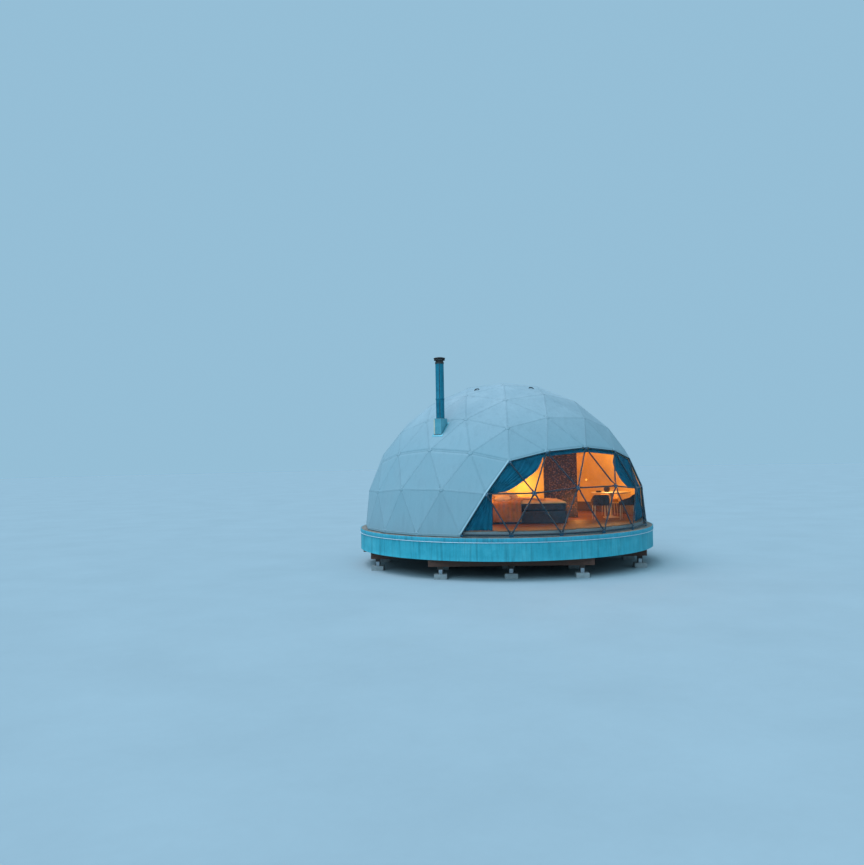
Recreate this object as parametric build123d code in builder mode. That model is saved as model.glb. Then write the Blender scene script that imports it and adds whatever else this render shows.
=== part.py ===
from build123d import *
from math import acos, ceil, cos, degrees, radians, sin, sqrt
import os

os.makedirs("parts", exist_ok=True)

# Everything is in millimetres, with Z up, the ground at Z = 0 and the dome's axis on Z.
# The clear bay faces -Y. Azimuths are counted from -Y towards +X.

# Dome frame
dome_radius = 4000
frequency = 4
base_height = 1100
strut_width = 38
strut_sides = 6
bay_strut_sides = 8
hub_reach = 52
hub_thickness = 18
seat_gap = 0.3

# Cover, clear bay and liner, each as its distance outside the sphere of the hub centres
cover_offset = 20.7
cover_thickness = 6
clear_thickness = 4
liner_offset = -24
liner_thickness = 12
hem_drop = 48

# Entrance porch on the back, its top just under the seam between the wall and the roof of the cover
porch_width = 1040
porch_drop = 3
porch_stand_out = 50
porch_lap = 64
porch_wall = 30
door_frame_width = 60
door_frame_depth = 80
door_thickness = 44
door_gap = 4
door_stop = 15

# Floor and platform
edge_sides = 60
deck_ledge = 140
deck_thickness = 22
floor_gap = 25
floor_rise = 100
board_thickness = 22
kerb_thickness = 20
kerb_height = 100
trim_height = 12
trim_reach = 14
skirt_height = 450
skirt_thickness = 8
skirt_panels = 20
panel_joint = 2
anchor_thickness = 6
anchor_width = 90
anchor_reach = 33
anchor_rise = 30
platform_turn = -36
timber_inset = 30
joist_margin = 150
joist_width = 48
joist_depth = 220
joist_spacing = 600
bearer_margin = 600
bearer_width = 90
bearer_depth = 280
bearer_spacing = 1800
tie_depth = 220
post_width = 120
pad_width = 320
pad_thickness = 120

# Flue
flue_diameter = 220
flue_sides = 24
flue_wall = 4
flue_rise = 1780
flue_collar_drop = 1000
flue_stub = 120
collar_reach = 8
collar_height = 45
cap_diameter = 310
cap_height = 90
cap_gap = 45
boot_width = 250
boot_wall = 5
flue_gap = 2
flue_azimuth = -72
flue_elevation = 42
boot_rise = 290
cap_legs = 4
cap_leg_width = 24

# Curtains at the two ends of the bay: the azimuth and elevation of the hubs that they hang along,
# and how far along the struts between them the cloth is drawn
curtain_offset = -26
curtain_thickness = 12
curtain_top = (36, 26.6)
curtain_top_inner = (20, 30.2)
curtain_tie = (44.8, 14.5)
curtain_drop = (27.2, 14.5)
curtain_middle = (9.7, 16)
curtain_base = (54, 0)
left_waist_share = 0.6
left_tie_share = 0.12
right_high_share = 0.45
right_low_share = 0.67
curtain_clear = 15
valance_share = 0.1
valance_thickness = 6

# Room, with each place as a share of the floor's radius
room_turn = -33.5
partition_place = (0.422, 0.015)
partition_width = 960
partition_thickness = 90
partition_height = 2100
bed_place = (0.129, -0.283)
bed_length = 2050
bed_width = 1700
bed_base_height = 340
mattress_inset = 20
mattress_height = 220
mattress_corner = 90
table_place = (0.784, -0.051)
table_radius = 560
table_sides = 24
table_height = 730
table_top_thickness = 30
table_leg_width = 90
table_foot_radius = 240
table_foot_thickness = 20
chair_width = 500
chair_depth = 480
chair_corner = 80
chair_seat_height = 470
chair_seat_thickness = 70
chair_back_thickness = 35
chair_back_height = 295
chair_leg_width = 32
chair_leg_spread = 380
chair_places = ((0.67, -0.219, 0), (0.864, -0.239, 70))
amber_chair_place = (0.815, 0.159, 180)

sectors = 5
sector_angle = 360 / sectors
base_step = sector_angle / frequency
lining_radius = dome_radius + liner_offset - liner_thickness
floor_radius = lining_radius * cos(radians(base_step / 2)) - floor_gap
deck_radius = dome_radius + deck_ledge
deck_top = base_height - hub_reach - anchor_thickness
floor_top = base_height + floor_rise
porch_front = dome_radius + porch_stand_out
porch_reach_in = lining_radius - porch_lap


def direction(azimuth, elevation):
    flat = cos(radians(elevation))
    return Vector(flat * sin(radians(azimuth)), -flat * cos(radians(azimuth)), sin(radians(elevation)))


# Corners of the icosahedron that the sphere is divided from
ico_elevation = degrees(acos(2 / sqrt(5)))
crown = Vector(0, 0, 1)
upper = [direction(sector_angle * (j - 1 / 2), ico_elevation) for j in range(sectors)]
lower = [direction(sector_angle * j, -ico_elevation) for j in range(sectors)]


def key(point):
    return (round(point.X), round(point.Y), round(point.Z))


# Hubs by name, and the ring that each is on, counted down from the crown
hub_points = {}
hub_ring = {}
shoulder_ring = frequency
base_ring = frequency * 3 // 2


def hub_at(point, ring):
    on_sphere = point.normalized() * dome_radius
    if ring == base_ring:
        on_sphere = Vector(on_sphere.X, on_sphere.Y, 0)
    name = key(on_sphere)
    hub_points.setdefault(name, on_sphere)
    hub_ring[name] = ring
    return name


def facets_of(corners, levels):
    a, b, c = corners
    level_a, level_b, level_c = levels

    def grid(i, k):
        ring = level_a * frequency + (level_b - level_a) * i + (level_c - level_b) * k
        return hub_at(a + (b - a) * (i / frequency) + (c - b) * (k / frequency), ring)

    found = []
    for i in range(frequency):
        for k in range(i + 1):
            found.append((grid(i, k), grid(i + 1, k), grid(i + 1, k + 1)))
            if k < i:
                found.append((grid(i, k), grid(i + 1, k + 1), grid(i, k + 1)))
    return [facet for facet in found if max(hub_ring[name] for name in facet) <= base_ring]


roof_faces = []
wall_faces = []
tip_faces = []
for j in range(sectors):
    following = (j + 1) % sectors
    roof_faces.append(facets_of((crown, upper[j], upper[following]), (0, 1, 1)))
    wall_faces.append(facets_of((upper[j], lower[j], upper[following]), (1, 2, 1)))
    tip_faces.append(facets_of((upper[j], lower[j - 1], lower[j]), (1, 2, 2)))
bay_facets = tip_faces[0] + wall_faces[0] + tip_faces[1]
all_facets = sum(roof_faces + wall_faces + tip_faces, [])
hub_names = sorted({name for facet in all_facets for name in facet})

seam_height = max(hub_points[name].Z for name in hub_names if hub_ring[name] == shoulder_ring)
porch_height = seam_height - porch_drop
porch_top = base_height + porch_height


def edges_of(facets):
    pairs = set()
    for a, b, c in facets:
        pairs.update({tuple(sorted((a, b))), tuple(sorted((b, c))), tuple(sorted((c, a)))})
    return sorted(pairs)


neighbours = {name: set() for name in hub_names}
for one, other in edges_of(all_facets):
    neighbours[one].add(other)
    neighbours[other].add(one)


def in_doorway(point):
    return abs(point.X) < porch_width / 2 and point.Y > 0 and point.Z < porch_height


def lift(point):
    return Vector(point.X, point.Y, point.Z + base_height)


# Hub plates: one flat for each strut, square to it


def hub_plane(name):
    centre = hub_points[name]
    side = crown.cross(centre)
    side = side if side.length > 1 else Vector(1, 0, 0)
    return Plane(origin=lift(centre), x_dir=side, z_dir=centre)


def flat_angles(name):
    plane = hub_plane(name)
    angles = []
    for other in neighbours[name]:
        local = plane.to_local_coords(lift(hub_points[other]))
        angles.append(Vector(local.X, local.Y, 0).get_signed_angle(Vector(1, 0, 0), Vector(0, 0, -1)) % 360)
    if hub_ring[name] == base_ring:
        angles.append(270)
    return sorted(angles)


def hub_plate(name):
    angles = flat_angles(name)
    corners = []
    for one, following in zip(angles, angles[1:] + [angles[0] + 360]):
        half = radians(following - one) / 2
        middle = radians(one) + half
        reach = hub_reach / cos(half)
        corners.append((reach * cos(middle), reach * sin(middle)))
    with BuildSketch(hub_plane(name)) as outline:
        Polygon(*corners, align=None)
    return extrude(outline.sketch, amount=hub_thickness / 2, both=True, mode=Mode.PRIVATE)


# Struts: straight tubes cut square, just clear of the hub plates


def strut(pair, sides=strut_sides):
    start, end = (hub_points[name] for name in pair)
    length = (end - start).length
    lean = length / 2 / dome_radius
    trim = (hub_reach + seat_gap) * sqrt(1 - lean**2) + hub_thickness / 2 * lean
    axis = (end - start).normalized()
    plane = Plane(origin=lift(start + axis * trim), x_dir=axis.cross(start + end), z_dir=axis)
    with BuildSketch(plane) as section:
        RegularPolygon(strut_width / 2, sides, major_radius=False, rotation=90 - 180 / sides)
    return extrude(section.sketch, amount=length - 2 * trim, mode=Mode.PRIVATE)


def rings(pair):
    return [hub_ring[name] for name in pair]


def meets_doorway(pair):
    start, end = (hub_points[name] for name in pair)
    return in_doorway((start + end) / 2) and max(rings(pair)) > shoulder_ring


def porch_void(gap):
    Box(
        porch_width + 2 * gap,
        2 * dome_radius,
        porch_top + gap,
        align=(Align.CENTER, Align.MIN, Align.MIN),
        mode=Mode.SUBTRACT,
    )


bay_pairs = [pair for pair in edges_of(bay_facets) if min(rings(pair)) < base_ring]
other_pairs = [pair for pair in edges_of(all_facets) if pair not in bay_pairs and not meets_doorway(pair)]


def pairs_below(high_ring, low_ring):
    return [pair for pair in other_pairs if high_ring < sum(rings(pair)) / 2 <= low_ring]


base_pairs = [pair for pair in other_pairs if min(rings(pair)) == base_ring]
wall_pairs = [pair for pair in pairs_below(shoulder_ring, base_ring) if pair not in base_pairs]
shoulder_pairs = pairs_below(shoulder_ring - 1, shoulder_ring)
roof_pairs = pairs_below(shoulder_ring / 2, shoulder_ring - 1)
crown_pairs = pairs_below(0, shoulder_ring / 2)

with BuildPart() as base_ring_struts:
    add([strut(pair) for pair in base_pairs])
    porch_void(seat_gap)

with BuildPart() as wall_struts:
    add([strut(pair) for pair in wall_pairs])

with BuildPart() as shoulder_struts:
    add([strut(pair) for pair in shoulder_pairs])
    porch_void(seat_gap)

with BuildPart() as roof_struts:
    add([strut(pair) for pair in roof_pairs])

with BuildPart() as crown_struts:
    add([strut(pair) for pair in crown_pairs])

with BuildPart() as bay_struts:
    add([strut(pair, bay_strut_sides) for pair in bay_pairs])

bay_hub_names = sorted({name for pair in bay_pairs for name in pair if hub_ring[name] < base_ring})
base_hub_names = [
    name for name in hub_names if hub_ring[name] == base_ring and not in_doorway(hub_points[name])
]
frame_hub_names = [
    name
    for name in hub_names
    if name not in bay_hub_names + base_hub_names and not in_doorway(hub_points[name])
]

with BuildPart() as bay_hubs:
    add([hub_plate(name) for name in bay_hub_names])

with BuildPart() as base_hubs:
    add([hub_plate(name) for name in base_hub_names])

with BuildPart() as frame_hubs:
    add([hub_plate(name) for name in frame_hub_names])


# Angle brackets that hold the base hubs down to the deck


def anchor(name):
    outward = hub_points[name].normalized()
    plane = Plane(origin=Vector(0, 0, 0), x_dir=outward, z_dir=outward.cross(crown))
    back = dome_radius - hub_thickness / 2 - seat_gap
    inner = back - anchor_thickness
    with BuildSketch(plane) as angle:
        with BuildLine():
            Polyline(
                (inner, deck_top),
                (inner + anchor_reach, deck_top),
                (inner + anchor_reach, deck_top + anchor_thickness - seat_gap),
                (back, deck_top + anchor_thickness - seat_gap),
                (back, base_height + anchor_rise),
                (inner, base_height + anchor_rise),
                close=True,
            )
        make_face()
    return extrude(angle.sketch, amount=anchor_width / 2, both=True, mode=Mode.PRIVATE)


with BuildPart() as anchor_brackets:
    add([anchor(name) for name in base_hub_names])


# Sheets folded along the struts: cover, clear bay, liner and curtains


def folded_sheet(triangles, outer_offset, thickness, hem=0):
    def at(point, offset, drop=0):
        scaled = point * ((dome_radius + offset) / dome_radius)
        return (scaled.X, scaled.Y, scaled.Z + base_height - drop)

    outer, inner = outer_offset, outer_offset - thickness
    faces = []
    border = {}
    for a, b, c in triangles:
        faces.append([at(a, outer), at(b, outer), at(c, outer)])
        faces.append([at(c, inner), at(b, inner), at(a, inner)])
        for one, following in ((a, b), (b, c), (c, a)):
            if (key(following), key(one)) in border:
                del border[(key(following), key(one))]
            else:
                border[(key(one), key(following))] = (one, following)
    base_ends = []
    for one, following in border.values():
        if hem and one.Z == 0 and following.Z == 0:
            faces.append([at(one, outer), at(one, outer, hem), at(following, outer, hem), at(following, outer)])
            faces.append([at(one, inner), at(following, inner), at(following, inner, hem), at(one, inner, hem)])
            faces.append(
                [at(one, outer, hem), at(one, inner, hem), at(following, inner, hem), at(following, outer, hem)]
            )
            base_ends += [one, following]
        else:
            faces.append([at(one, outer), at(one, inner), at(following, inner), at(following, outer)])
    names = [key(point) for point in base_ends]
    for point in base_ends:
        if names.count(key(point)) == 1:
            faces.append([at(point, outer), at(point, inner), at(point, inner, hem), at(point, outer, hem)])
    return Solid(Shell([Face(Wire.make_polygon(corners, close=True)) for corners in faces]))


def points_of(facets):
    return [tuple(hub_points[name] for name in facet) for facet in facets]


cover_outer = cover_offset + cover_thickness
clear_outer = cover_offset + clear_thickness

# The facet of the roof that the flue comes through


def facet_centre(facet):
    return sum(points_of([facet])[0], Vector(0, 0, 0)) / 3


flue_aim = direction(flue_azimuth, flue_elevation) * dome_radius
flue_facet = min(roof_faces[4], key=lambda facet: (facet_centre(facet) - flue_aim).length)
flue_corners = points_of([flue_facet])[0]
facet_out = (flue_corners[1] - flue_corners[0]).cross(flue_corners[2] - flue_corners[0]).normalized()
facet_out = facet_out * (1 if facet_out.Z > 0 else -1)


def facet_plane(offset):
    on_facet = facet_centre(flue_facet) * ((dome_radius + offset) / dome_radius)
    return Plane(origin=lift(on_facet), z_dir=facet_out)


flue_foot = facet_plane(cover_outer).origin
flue_bottom = flue_foot.Z - flue_stub
flue_top = flue_foot.Z + flue_rise


def flue_prism(radius, low, height, mode=Mode.ADD):
    with BuildSketch(Plane.XY.offset(low)) as outline:
        with Locations((flue_foot.X, flue_foot.Y)):
            RegularPolygon(radius, flue_sides)
    extrude(outline.sketch, amount=height, mode=mode)


def flue_hole():
    flue_prism(flue_diameter / 2 + flue_gap, flue_bottom, flue_rise, Mode.SUBTRACT)


# Cover in four sheets, with the entrance cut out at the back and the flue hole in the roof

with BuildPart() as cover_roof:
    add(folded_sheet(points_of(sum(roof_faces, [])), cover_outer, cover_thickness))
    porch_void(seat_gap)
    flue_hole()

with BuildPart() as cover_wall_right:
    add(folded_sheet(points_of(wall_faces[1] + tip_faces[2]), cover_outer, cover_thickness, hem_drop))

with BuildPart() as cover_wall_left:
    add(folded_sheet(points_of(wall_faces[4] + tip_faces[4]), cover_outer, cover_thickness, hem_drop))

with BuildPart() as cover_wall_back:
    back_facets = wall_faces[2] + tip_faces[3] + wall_faces[3]
    add(folded_sheet(points_of(back_facets), cover_outer, cover_thickness, hem_drop))
    porch_void(seat_gap)

with BuildPart() as clear_bay:
    add(folded_sheet(points_of(bay_facets), clear_outer, clear_thickness, hem_drop))

with BuildPart() as liner_roof:
    add(folded_sheet(points_of(sum(roof_faces, [])), liner_offset, liner_thickness))
    porch_void(seat_gap)
    flue_hole()

with BuildPart() as liner_walls:
    liner_facets = sum(wall_faces[1:] + tip_faces[2:], [])
    add(folded_sheet(points_of(liner_facets), liner_offset, liner_thickness, hem_drop))
    porch_void(seat_gap)


# Curtains at the two ends of the bay. The left one is tied back hard, the right one less far. Below
# the tie the outer edge follows the strut and the inner edge hangs plumb.


def hub_near(side, place):
    wanted = direction(side * place[0], place[1]) * dome_radius
    return min((hub_points[name] for name in hub_names), key=lambda point: (point - wanted).length)


def along(start, end, share):
    return start + (end - start) * share


def curtain_tail(side, tie_inner):
    tie, base_end = hub_near(side, curtain_tie), hub_near(side, curtain_base)
    foot = along(base_end, tie, (floor_rise + curtain_clear) / tie.Z)
    foot_inner = Vector(tie_inner.X, tie_inner.Y, foot.Z)
    return [(tie, foot, foot_inner), (tie, foot_inner, tie_inner)]


def left_triangles():
    top, top_inner, tie, drop = (
        hub_near(-1, place) for place in (curtain_top, curtain_top_inner, curtain_tie, curtain_drop)
    )
    waist = along(top, drop, left_waist_share)
    tie_inner = along(tie, drop, left_tie_share)
    upper_part = [(top, tie, tie_inner), (top, tie_inner, waist), (top, waist, top_inner)]
    return upper_part + curtain_tail(-1, tie_inner)


def right_triangles():
    top, top_inner, tie, drop, middle = (
        hub_near(1, place)
        for place in (curtain_top, curtain_top_inner, curtain_tie, curtain_drop, curtain_middle)
    )
    edge_high = along(top_inner, middle, right_high_share)
    edge_low = along(middle, drop, right_low_share)
    upper_part = [(top, tie, drop), (top, drop, top_inner)]
    upper_part += [(top_inner, drop, edge_low), (top_inner, edge_low, edge_high)]
    return [(a, c, b) for a, b, c in upper_part + curtain_tail(1, drop)]


with BuildPart() as left_curtain:
    add(folded_sheet(left_triangles(), curtain_offset, curtain_thickness))

with BuildPart() as right_curtain:
    add(folded_sheet(right_triangles(), curtain_offset, curtain_thickness))


# Valance along the top of the bay, on the room side of the curtains


def corners_from(facet, first):
    start = facet.index(first)
    return points_of([facet[start:] + facet[:start]])[0]


valance_triangles = []
for facet in wall_faces[0]:
    high = [name for name in facet if hub_ring[name] == shoulder_ring]
    low = [name for name in facet if hub_ring[name] > shoulder_ring]
    if len(high) == 1:
        a, b, c = corners_from(facet, high[0])
        valance_triangles.append((a, a + (b - a) * valance_share, a + (c - a) * valance_share))
    if len(high) == 2:
        c, a, b = corners_from(facet, low[0])
        a_low, b_low = a + (c - a) * valance_share, b + (c - b) * valance_share
        valance_triangles += [(a, b, b_low), (a, b_low, a_low)]

with BuildPart() as bay_valance:
    valance_offset = curtain_offset - curtain_thickness - seat_gap
    add(folded_sheet(valance_triangles, valance_offset, valance_thickness))


# Entrance porch: side walls that follow the dome, a flat roof, a frame and a closed door


def porch_inner(height):
    return sqrt(porch_reach_in**2 - (porch_width / 2) ** 2 - height**2)


with BuildPart() as porch_walls:
    with BuildSketch(Plane.YZ.offset(porch_width / 2)):
        with BuildLine():
            low = (porch_inner(deck_top - base_height), deck_top)
            high = (porch_inner(porch_height), porch_top)
            middle = (low[1] + high[1]) / 2
            ThreePointArc(low, (porch_inner(middle - base_height), middle), high)
            Polyline(high, (porch_front, porch_top), (porch_front, deck_top), low)
        make_face()
    extrude(amount=-porch_wall)
    mirror(about=Plane.YZ)

frame_outer = porch_width - 2 * porch_wall - 2 * seat_gap
frame_top = porch_top - porch_wall - seat_gap
door_width = frame_outer - 2 * door_frame_width
door_height = frame_top - floor_top - door_frame_width

with BuildPart() as porch_roof:
    with BuildSketch(Plane.XY.offset(porch_top - porch_wall)):
        with Locations((0, porch_inner(porch_height))):
            roof_depth = porch_front - porch_inner(porch_height)
            Rectangle(frame_outer, roof_depth, align=(Align.CENTER, Align.MIN))
    extrude(amount=porch_wall)


def back_plane(y):
    return Plane(origin=(0, y, 0), x_dir=(-1, 0, 0), z_dir=(0, 1, 0))


def standing(width, low, high, mode=Mode.ADD):
    with Locations((0, low)):
        Rectangle(width, high - low, align=(Align.CENTER, Align.MIN), mode=mode)


with BuildPart() as door_frame:
    with BuildSketch(back_plane(porch_front - door_frame_depth)):
        standing(frame_outer, floor_top, frame_top)
        standing(door_width - 2 * door_stop, floor_top, floor_top + door_height - door_stop, Mode.SUBTRACT)
    extrude(amount=door_frame_depth - door_thickness - seat_gap)
    with BuildSketch(back_plane(porch_front - door_thickness - seat_gap)):
        standing(frame_outer, floor_top, frame_top)
        standing(door_width, floor_top, floor_top + door_height, Mode.SUBTRACT)
    extrude(amount=door_thickness + seat_gap)

with BuildPart() as door_leaf:
    with BuildSketch(back_plane(porch_front - door_thickness)):
        standing(door_width - 2 * door_gap, floor_top + door_gap, floor_top + door_height - door_gap)
    extrude(amount=door_thickness)

with BuildPart() as door_sill:
    with BuildSketch(Plane.XY.offset(deck_top)):
        with Locations((0, porch_front)):
            sill_depth = porch_front - floor_radius - seat_gap
            Rectangle(frame_outer, sill_depth, align=(Align.CENTER, Align.MAX))
    extrude(amount=floor_top - deck_top - seat_gap)


# Floor: finish boards on an insulated slab on a boarded deck


def disc(radius, low, thickness):
    with BuildSketch(Plane.XY.offset(low)) as outline:
        RegularPolygon(radius, edge_sides)
    extrude(outline.sketch, amount=thickness)


def band(inner, outer, low, height):
    with BuildSketch(Plane.XY.offset(low)) as outline:
        RegularPolygon(outer, edge_sides)
        RegularPolygon(inner, edge_sides, mode=Mode.SUBTRACT)
    extrude(outline.sketch, amount=height)


kerb_inner = deck_radius + seat_gap
kerb_outer = kerb_inner + kerb_thickness
trim_top = deck_top - kerb_height
skirt_top = trim_top - trim_height

with BuildPart() as floor_boards:
    disc(floor_radius, floor_top - board_thickness, board_thickness)

with BuildPart() as insulated_floor:
    disc(floor_radius, deck_top, floor_top - board_thickness - deck_top)

with BuildPart() as deck:
    disc(deck_radius, deck_top - deck_thickness, deck_thickness)


def panel_joints():
    with PolarLocations(0, skirt_panels):
        Box(
            kerb_outer + trim_reach,
            panel_joint,
            deck_top,
            align=(Align.MIN, Align.CENTER, Align.MIN),
            mode=Mode.SUBTRACT,
        )


with BuildPart() as deck_kerb:
    band(kerb_inner, kerb_outer, trim_top, kerb_height)
    panel_joints()

with BuildPart() as edge_trim:
    band(kerb_inner, kerb_outer + trim_reach, skirt_top, trim_height)

with BuildPart() as skirt:
    band(kerb_inner, kerb_inner + skirt_thickness, skirt_top - skirt_height, skirt_height)
    panel_joints()

# Timber under the deck, laid in three crossing layers on posts

platform_plane = Plane.XY.rotated((0, 0, platform_turn))
timber_radius = deck_radius - timber_inset
joist_bottom = deck_top - deck_thickness - joist_depth
bearer_bottom = joist_bottom - bearer_depth
tie_bottom = bearer_bottom - tie_depth


def rows(margin, widest_spacing):
    reach = timber_radius - margin
    steps = ceil(reach / widest_spacing)
    return [reach * step / steps for step in range(-steps, steps + 1)]


def timbers(places, width, bottom, depth, crosswise=False):
    with BuildSketch(platform_plane.offset(bottom)) as layer:
        for place in places:
            length = 2 * sqrt(timber_radius**2 - (abs(place) + width / 2) ** 2)
            with Locations((place, 0) if crosswise else (0, place)):
                Rectangle(width if crosswise else length, length if crosswise else width)
    extrude(layer.sketch, amount=depth)


bearer_rows = rows(bearer_margin, bearer_spacing)

with BuildPart() as joists:
    timbers(rows(joist_margin, joist_spacing), joist_width, joist_bottom, joist_depth)

with BuildPart() as bearers:
    timbers(bearer_rows, bearer_width, bearer_bottom, bearer_depth, crosswise=True)

with BuildPart() as tie_beams:
    timbers(bearer_rows, bearer_width, tie_bottom, tie_depth)

post_places = [
    (x, y) for x in bearer_rows for y in bearer_rows if sqrt(x**2 + y**2) < timber_radius - post_width / 2
]

with BuildPart() as posts:
    with BuildSketch(platform_plane.offset(pad_thickness)):
        with Locations(*post_places):
            Rectangle(post_width, post_width)
    extrude(amount=tie_bottom - pad_thickness)

with BuildPart() as footing_pads:
    with BuildSketch(platform_plane):
        with Locations(*post_places):
            Rectangle(pad_width, pad_width)
    extrude(amount=pad_thickness)

# Flue: a box boot cut to the slope of the cover, a straight pipe and a raised cowl

boot_top = flue_foot.Z + boot_rise
boot_length = boot_rise + boot_width
flue_outer = flue_diameter / 2
collar_outer = flue_outer + collar_reach

with BuildPart() as flue_boot:
    with Locations(Location((flue_foot.X, flue_foot.Y, boot_top), (0, 0, flue_azimuth))):
        Box(boot_width, boot_width, boot_length, align=(Align.CENTER, Align.CENTER, Align.MAX))
        with Locations((0, 0, -boot_wall)):
            Box(
                boot_width - 2 * boot_wall,
                boot_width - 2 * boot_wall,
                boot_length,
                align=(Align.CENTER, Align.CENTER, Align.MAX),
                mode=Mode.SUBTRACT,
            )
    split(bisect_by=facet_plane(cover_outer + seat_gap), keep=Keep.TOP)
    flue_prism(flue_outer + seat_gap, boot_top - boot_wall, boot_wall, Mode.SUBTRACT)

with BuildPart() as flue_pipe:
    flue_prism(flue_outer, flue_bottom, flue_top - flue_bottom)
    flue_prism(collar_outer, flue_top - flue_collar_drop, collar_height)
    flue_prism(flue_outer - flue_wall, flue_bottom, flue_top - flue_bottom, Mode.SUBTRACT)

with BuildPart() as flue_cap:
    flue_prism(collar_outer, flue_top - collar_height, collar_height)
    flue_prism(flue_outer + seat_gap, flue_top - collar_height, collar_height, Mode.SUBTRACT)
    with Locations((flue_foot.X, flue_foot.Y, flue_top - seat_gap)):
        with PolarLocations(flue_outer + collar_reach / 2, cap_legs):
            Box(
                collar_reach / 2,
                cap_leg_width,
                cap_gap + 2 * seat_gap,
                align=(Align.CENTER, Align.CENTER, Align.MIN),
            )
    flue_prism(cap_diameter / 2, flue_top + cap_gap, cap_height)

# Room pieces that show through the bay, set square to a line across the room

room_plane = Plane.XY.rotated((0, 0, room_turn)).offset(floor_top)


def spot_at(share_x, share_y, turn=0):
    return Location((share_x * floor_radius, share_y * floor_radius, 0), (0, 0, turn))


def block(place, width, depth, height):
    with BuildSketch(room_plane) as base:
        with Locations(spot_at(*place)):
            Rectangle(width, depth)
    extrude(base.sketch, amount=height)


with BuildPart() as partition:
    block(partition_place, partition_width, partition_thickness, partition_height)

with BuildPart() as bed_base:
    block(bed_place, bed_length, bed_width, bed_base_height)

with BuildPart() as mattress:
    with BuildSketch(room_plane.offset(bed_base_height + seat_gap)):
        with Locations(spot_at(*bed_place)):
            RectangleRounded(bed_length - 2 * mattress_inset, bed_width - 2 * mattress_inset, mattress_corner)
    extrude(amount=mattress_height)

with BuildPart() as table:
    with BuildSketch(room_plane.offset(table_height - table_top_thickness)):
        with Locations(spot_at(*table_place)):
            RegularPolygon(table_radius, table_sides)
    extrude(amount=table_top_thickness)
    block(table_place, table_leg_width, table_leg_width, table_height - table_top_thickness)
    with BuildSketch(room_plane):
        with Locations(spot_at(*table_place)):
            RegularPolygon(table_foot_radius, table_sides)
    extrude(amount=table_foot_thickness)


def chair(place):
    seat_low = chair_seat_height - chair_seat_thickness
    spot = spot_at(*place)
    with BuildSketch(room_plane.offset(seat_low)) as seat:
        with Locations(spot):
            RectangleRounded(chair_width, chair_depth, chair_corner)
    extrude(seat.sketch, amount=chair_seat_thickness)
    with BuildSketch(room_plane.offset(seat_low)) as back:
        with Locations(spot):
            RectangleRounded(chair_width, chair_depth, chair_corner)
            inner_width = chair_width - 2 * chair_back_thickness
            inner_depth = chair_depth - chair_back_thickness
            with Locations((0, chair_back_thickness)):
                RectangleRounded(inner_width, chair_depth, chair_corner / 2, mode=Mode.SUBTRACT)
    extrude(back.sketch, amount=chair_back_height)
    with BuildSketch(room_plane) as legs:
        with Locations(spot):
            with GridLocations(chair_leg_spread, chair_leg_spread, 2, 2):
                Rectangle(chair_leg_width, chair_leg_width)
    extrude(legs.sketch, amount=seat_low)


with BuildPart() as dining_chairs:
    for place in chair_places:
        chair(place)

with BuildPart() as amber_chair:
    chair(amber_chair_place)

pieces = {
    "base_ring_struts": base_ring_struts,
    "wall_struts": wall_struts,
    "shoulder_struts": shoulder_struts,
    "roof_struts": roof_struts,
    "crown_struts": crown_struts,
    "bay_struts": bay_struts,
    "bay_hubs": bay_hubs,
    "base_hubs": base_hubs,
    "frame_hubs": frame_hubs,
    "anchor_brackets": anchor_brackets,
    "cover_roof": cover_roof,
    "cover_wall_right": cover_wall_right,
    "cover_wall_left": cover_wall_left,
    "cover_wall_back": cover_wall_back,
    "clear_bay": clear_bay,
    "liner_roof": liner_roof,
    "liner_walls": liner_walls,
    "left_curtain": left_curtain,
    "right_curtain": right_curtain,
    "bay_valance": bay_valance,
    "porch_walls": porch_walls,
    "porch_roof": porch_roof,
    "door_frame": door_frame,
    "door_leaf": door_leaf,
    "door_sill": door_sill,
    "floor_boards": floor_boards,
    "insulated_floor": insulated_floor,
    "deck": deck,
    "deck_kerb": deck_kerb,
    "edge_trim": edge_trim,
    "skirt": skirt,
    "joists": joists,
    "bearers": bearers,
    "tie_beams": tie_beams,
    "posts": posts,
    "footing_pads": footing_pads,
    "flue_boot": flue_boot,
    "flue_pipe": flue_pipe,
    "flue_cap": flue_cap,
    "partition": partition,
    "bed_base": bed_base,
    "mattress": mattress,
    "table": table,
    "dining_chairs": dining_chairs,
    "amber_chair": amber_chair,
}

for name, piece in pieces.items():
    piece.part.label = name
    export_step(piece.part, f"parts/{name}.step")
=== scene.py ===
import math
import random

import bmesh
import bpy
from mathutils import Matrix, Vector, noise


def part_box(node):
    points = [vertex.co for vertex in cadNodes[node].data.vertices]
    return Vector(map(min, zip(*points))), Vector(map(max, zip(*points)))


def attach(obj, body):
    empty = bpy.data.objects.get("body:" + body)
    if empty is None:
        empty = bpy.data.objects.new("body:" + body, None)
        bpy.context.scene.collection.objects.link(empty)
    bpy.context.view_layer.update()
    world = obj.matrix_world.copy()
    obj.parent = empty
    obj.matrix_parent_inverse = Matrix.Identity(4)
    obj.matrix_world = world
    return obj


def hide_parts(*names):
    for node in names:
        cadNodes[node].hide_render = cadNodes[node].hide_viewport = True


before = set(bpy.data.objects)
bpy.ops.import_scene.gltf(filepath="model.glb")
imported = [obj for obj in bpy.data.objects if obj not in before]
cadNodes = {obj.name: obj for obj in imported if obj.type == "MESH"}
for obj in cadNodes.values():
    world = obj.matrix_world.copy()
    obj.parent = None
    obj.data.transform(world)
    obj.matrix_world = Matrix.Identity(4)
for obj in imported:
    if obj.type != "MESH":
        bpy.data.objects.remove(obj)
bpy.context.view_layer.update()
print("frame loaded:", len(cadNodes), "nodes")

# Everything is in metres, with Z up, the ground at Z = 0 and the dome's axis on Z.
fullTurn = 2 * math.pi
up = Vector((0, 0, 1))


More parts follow.
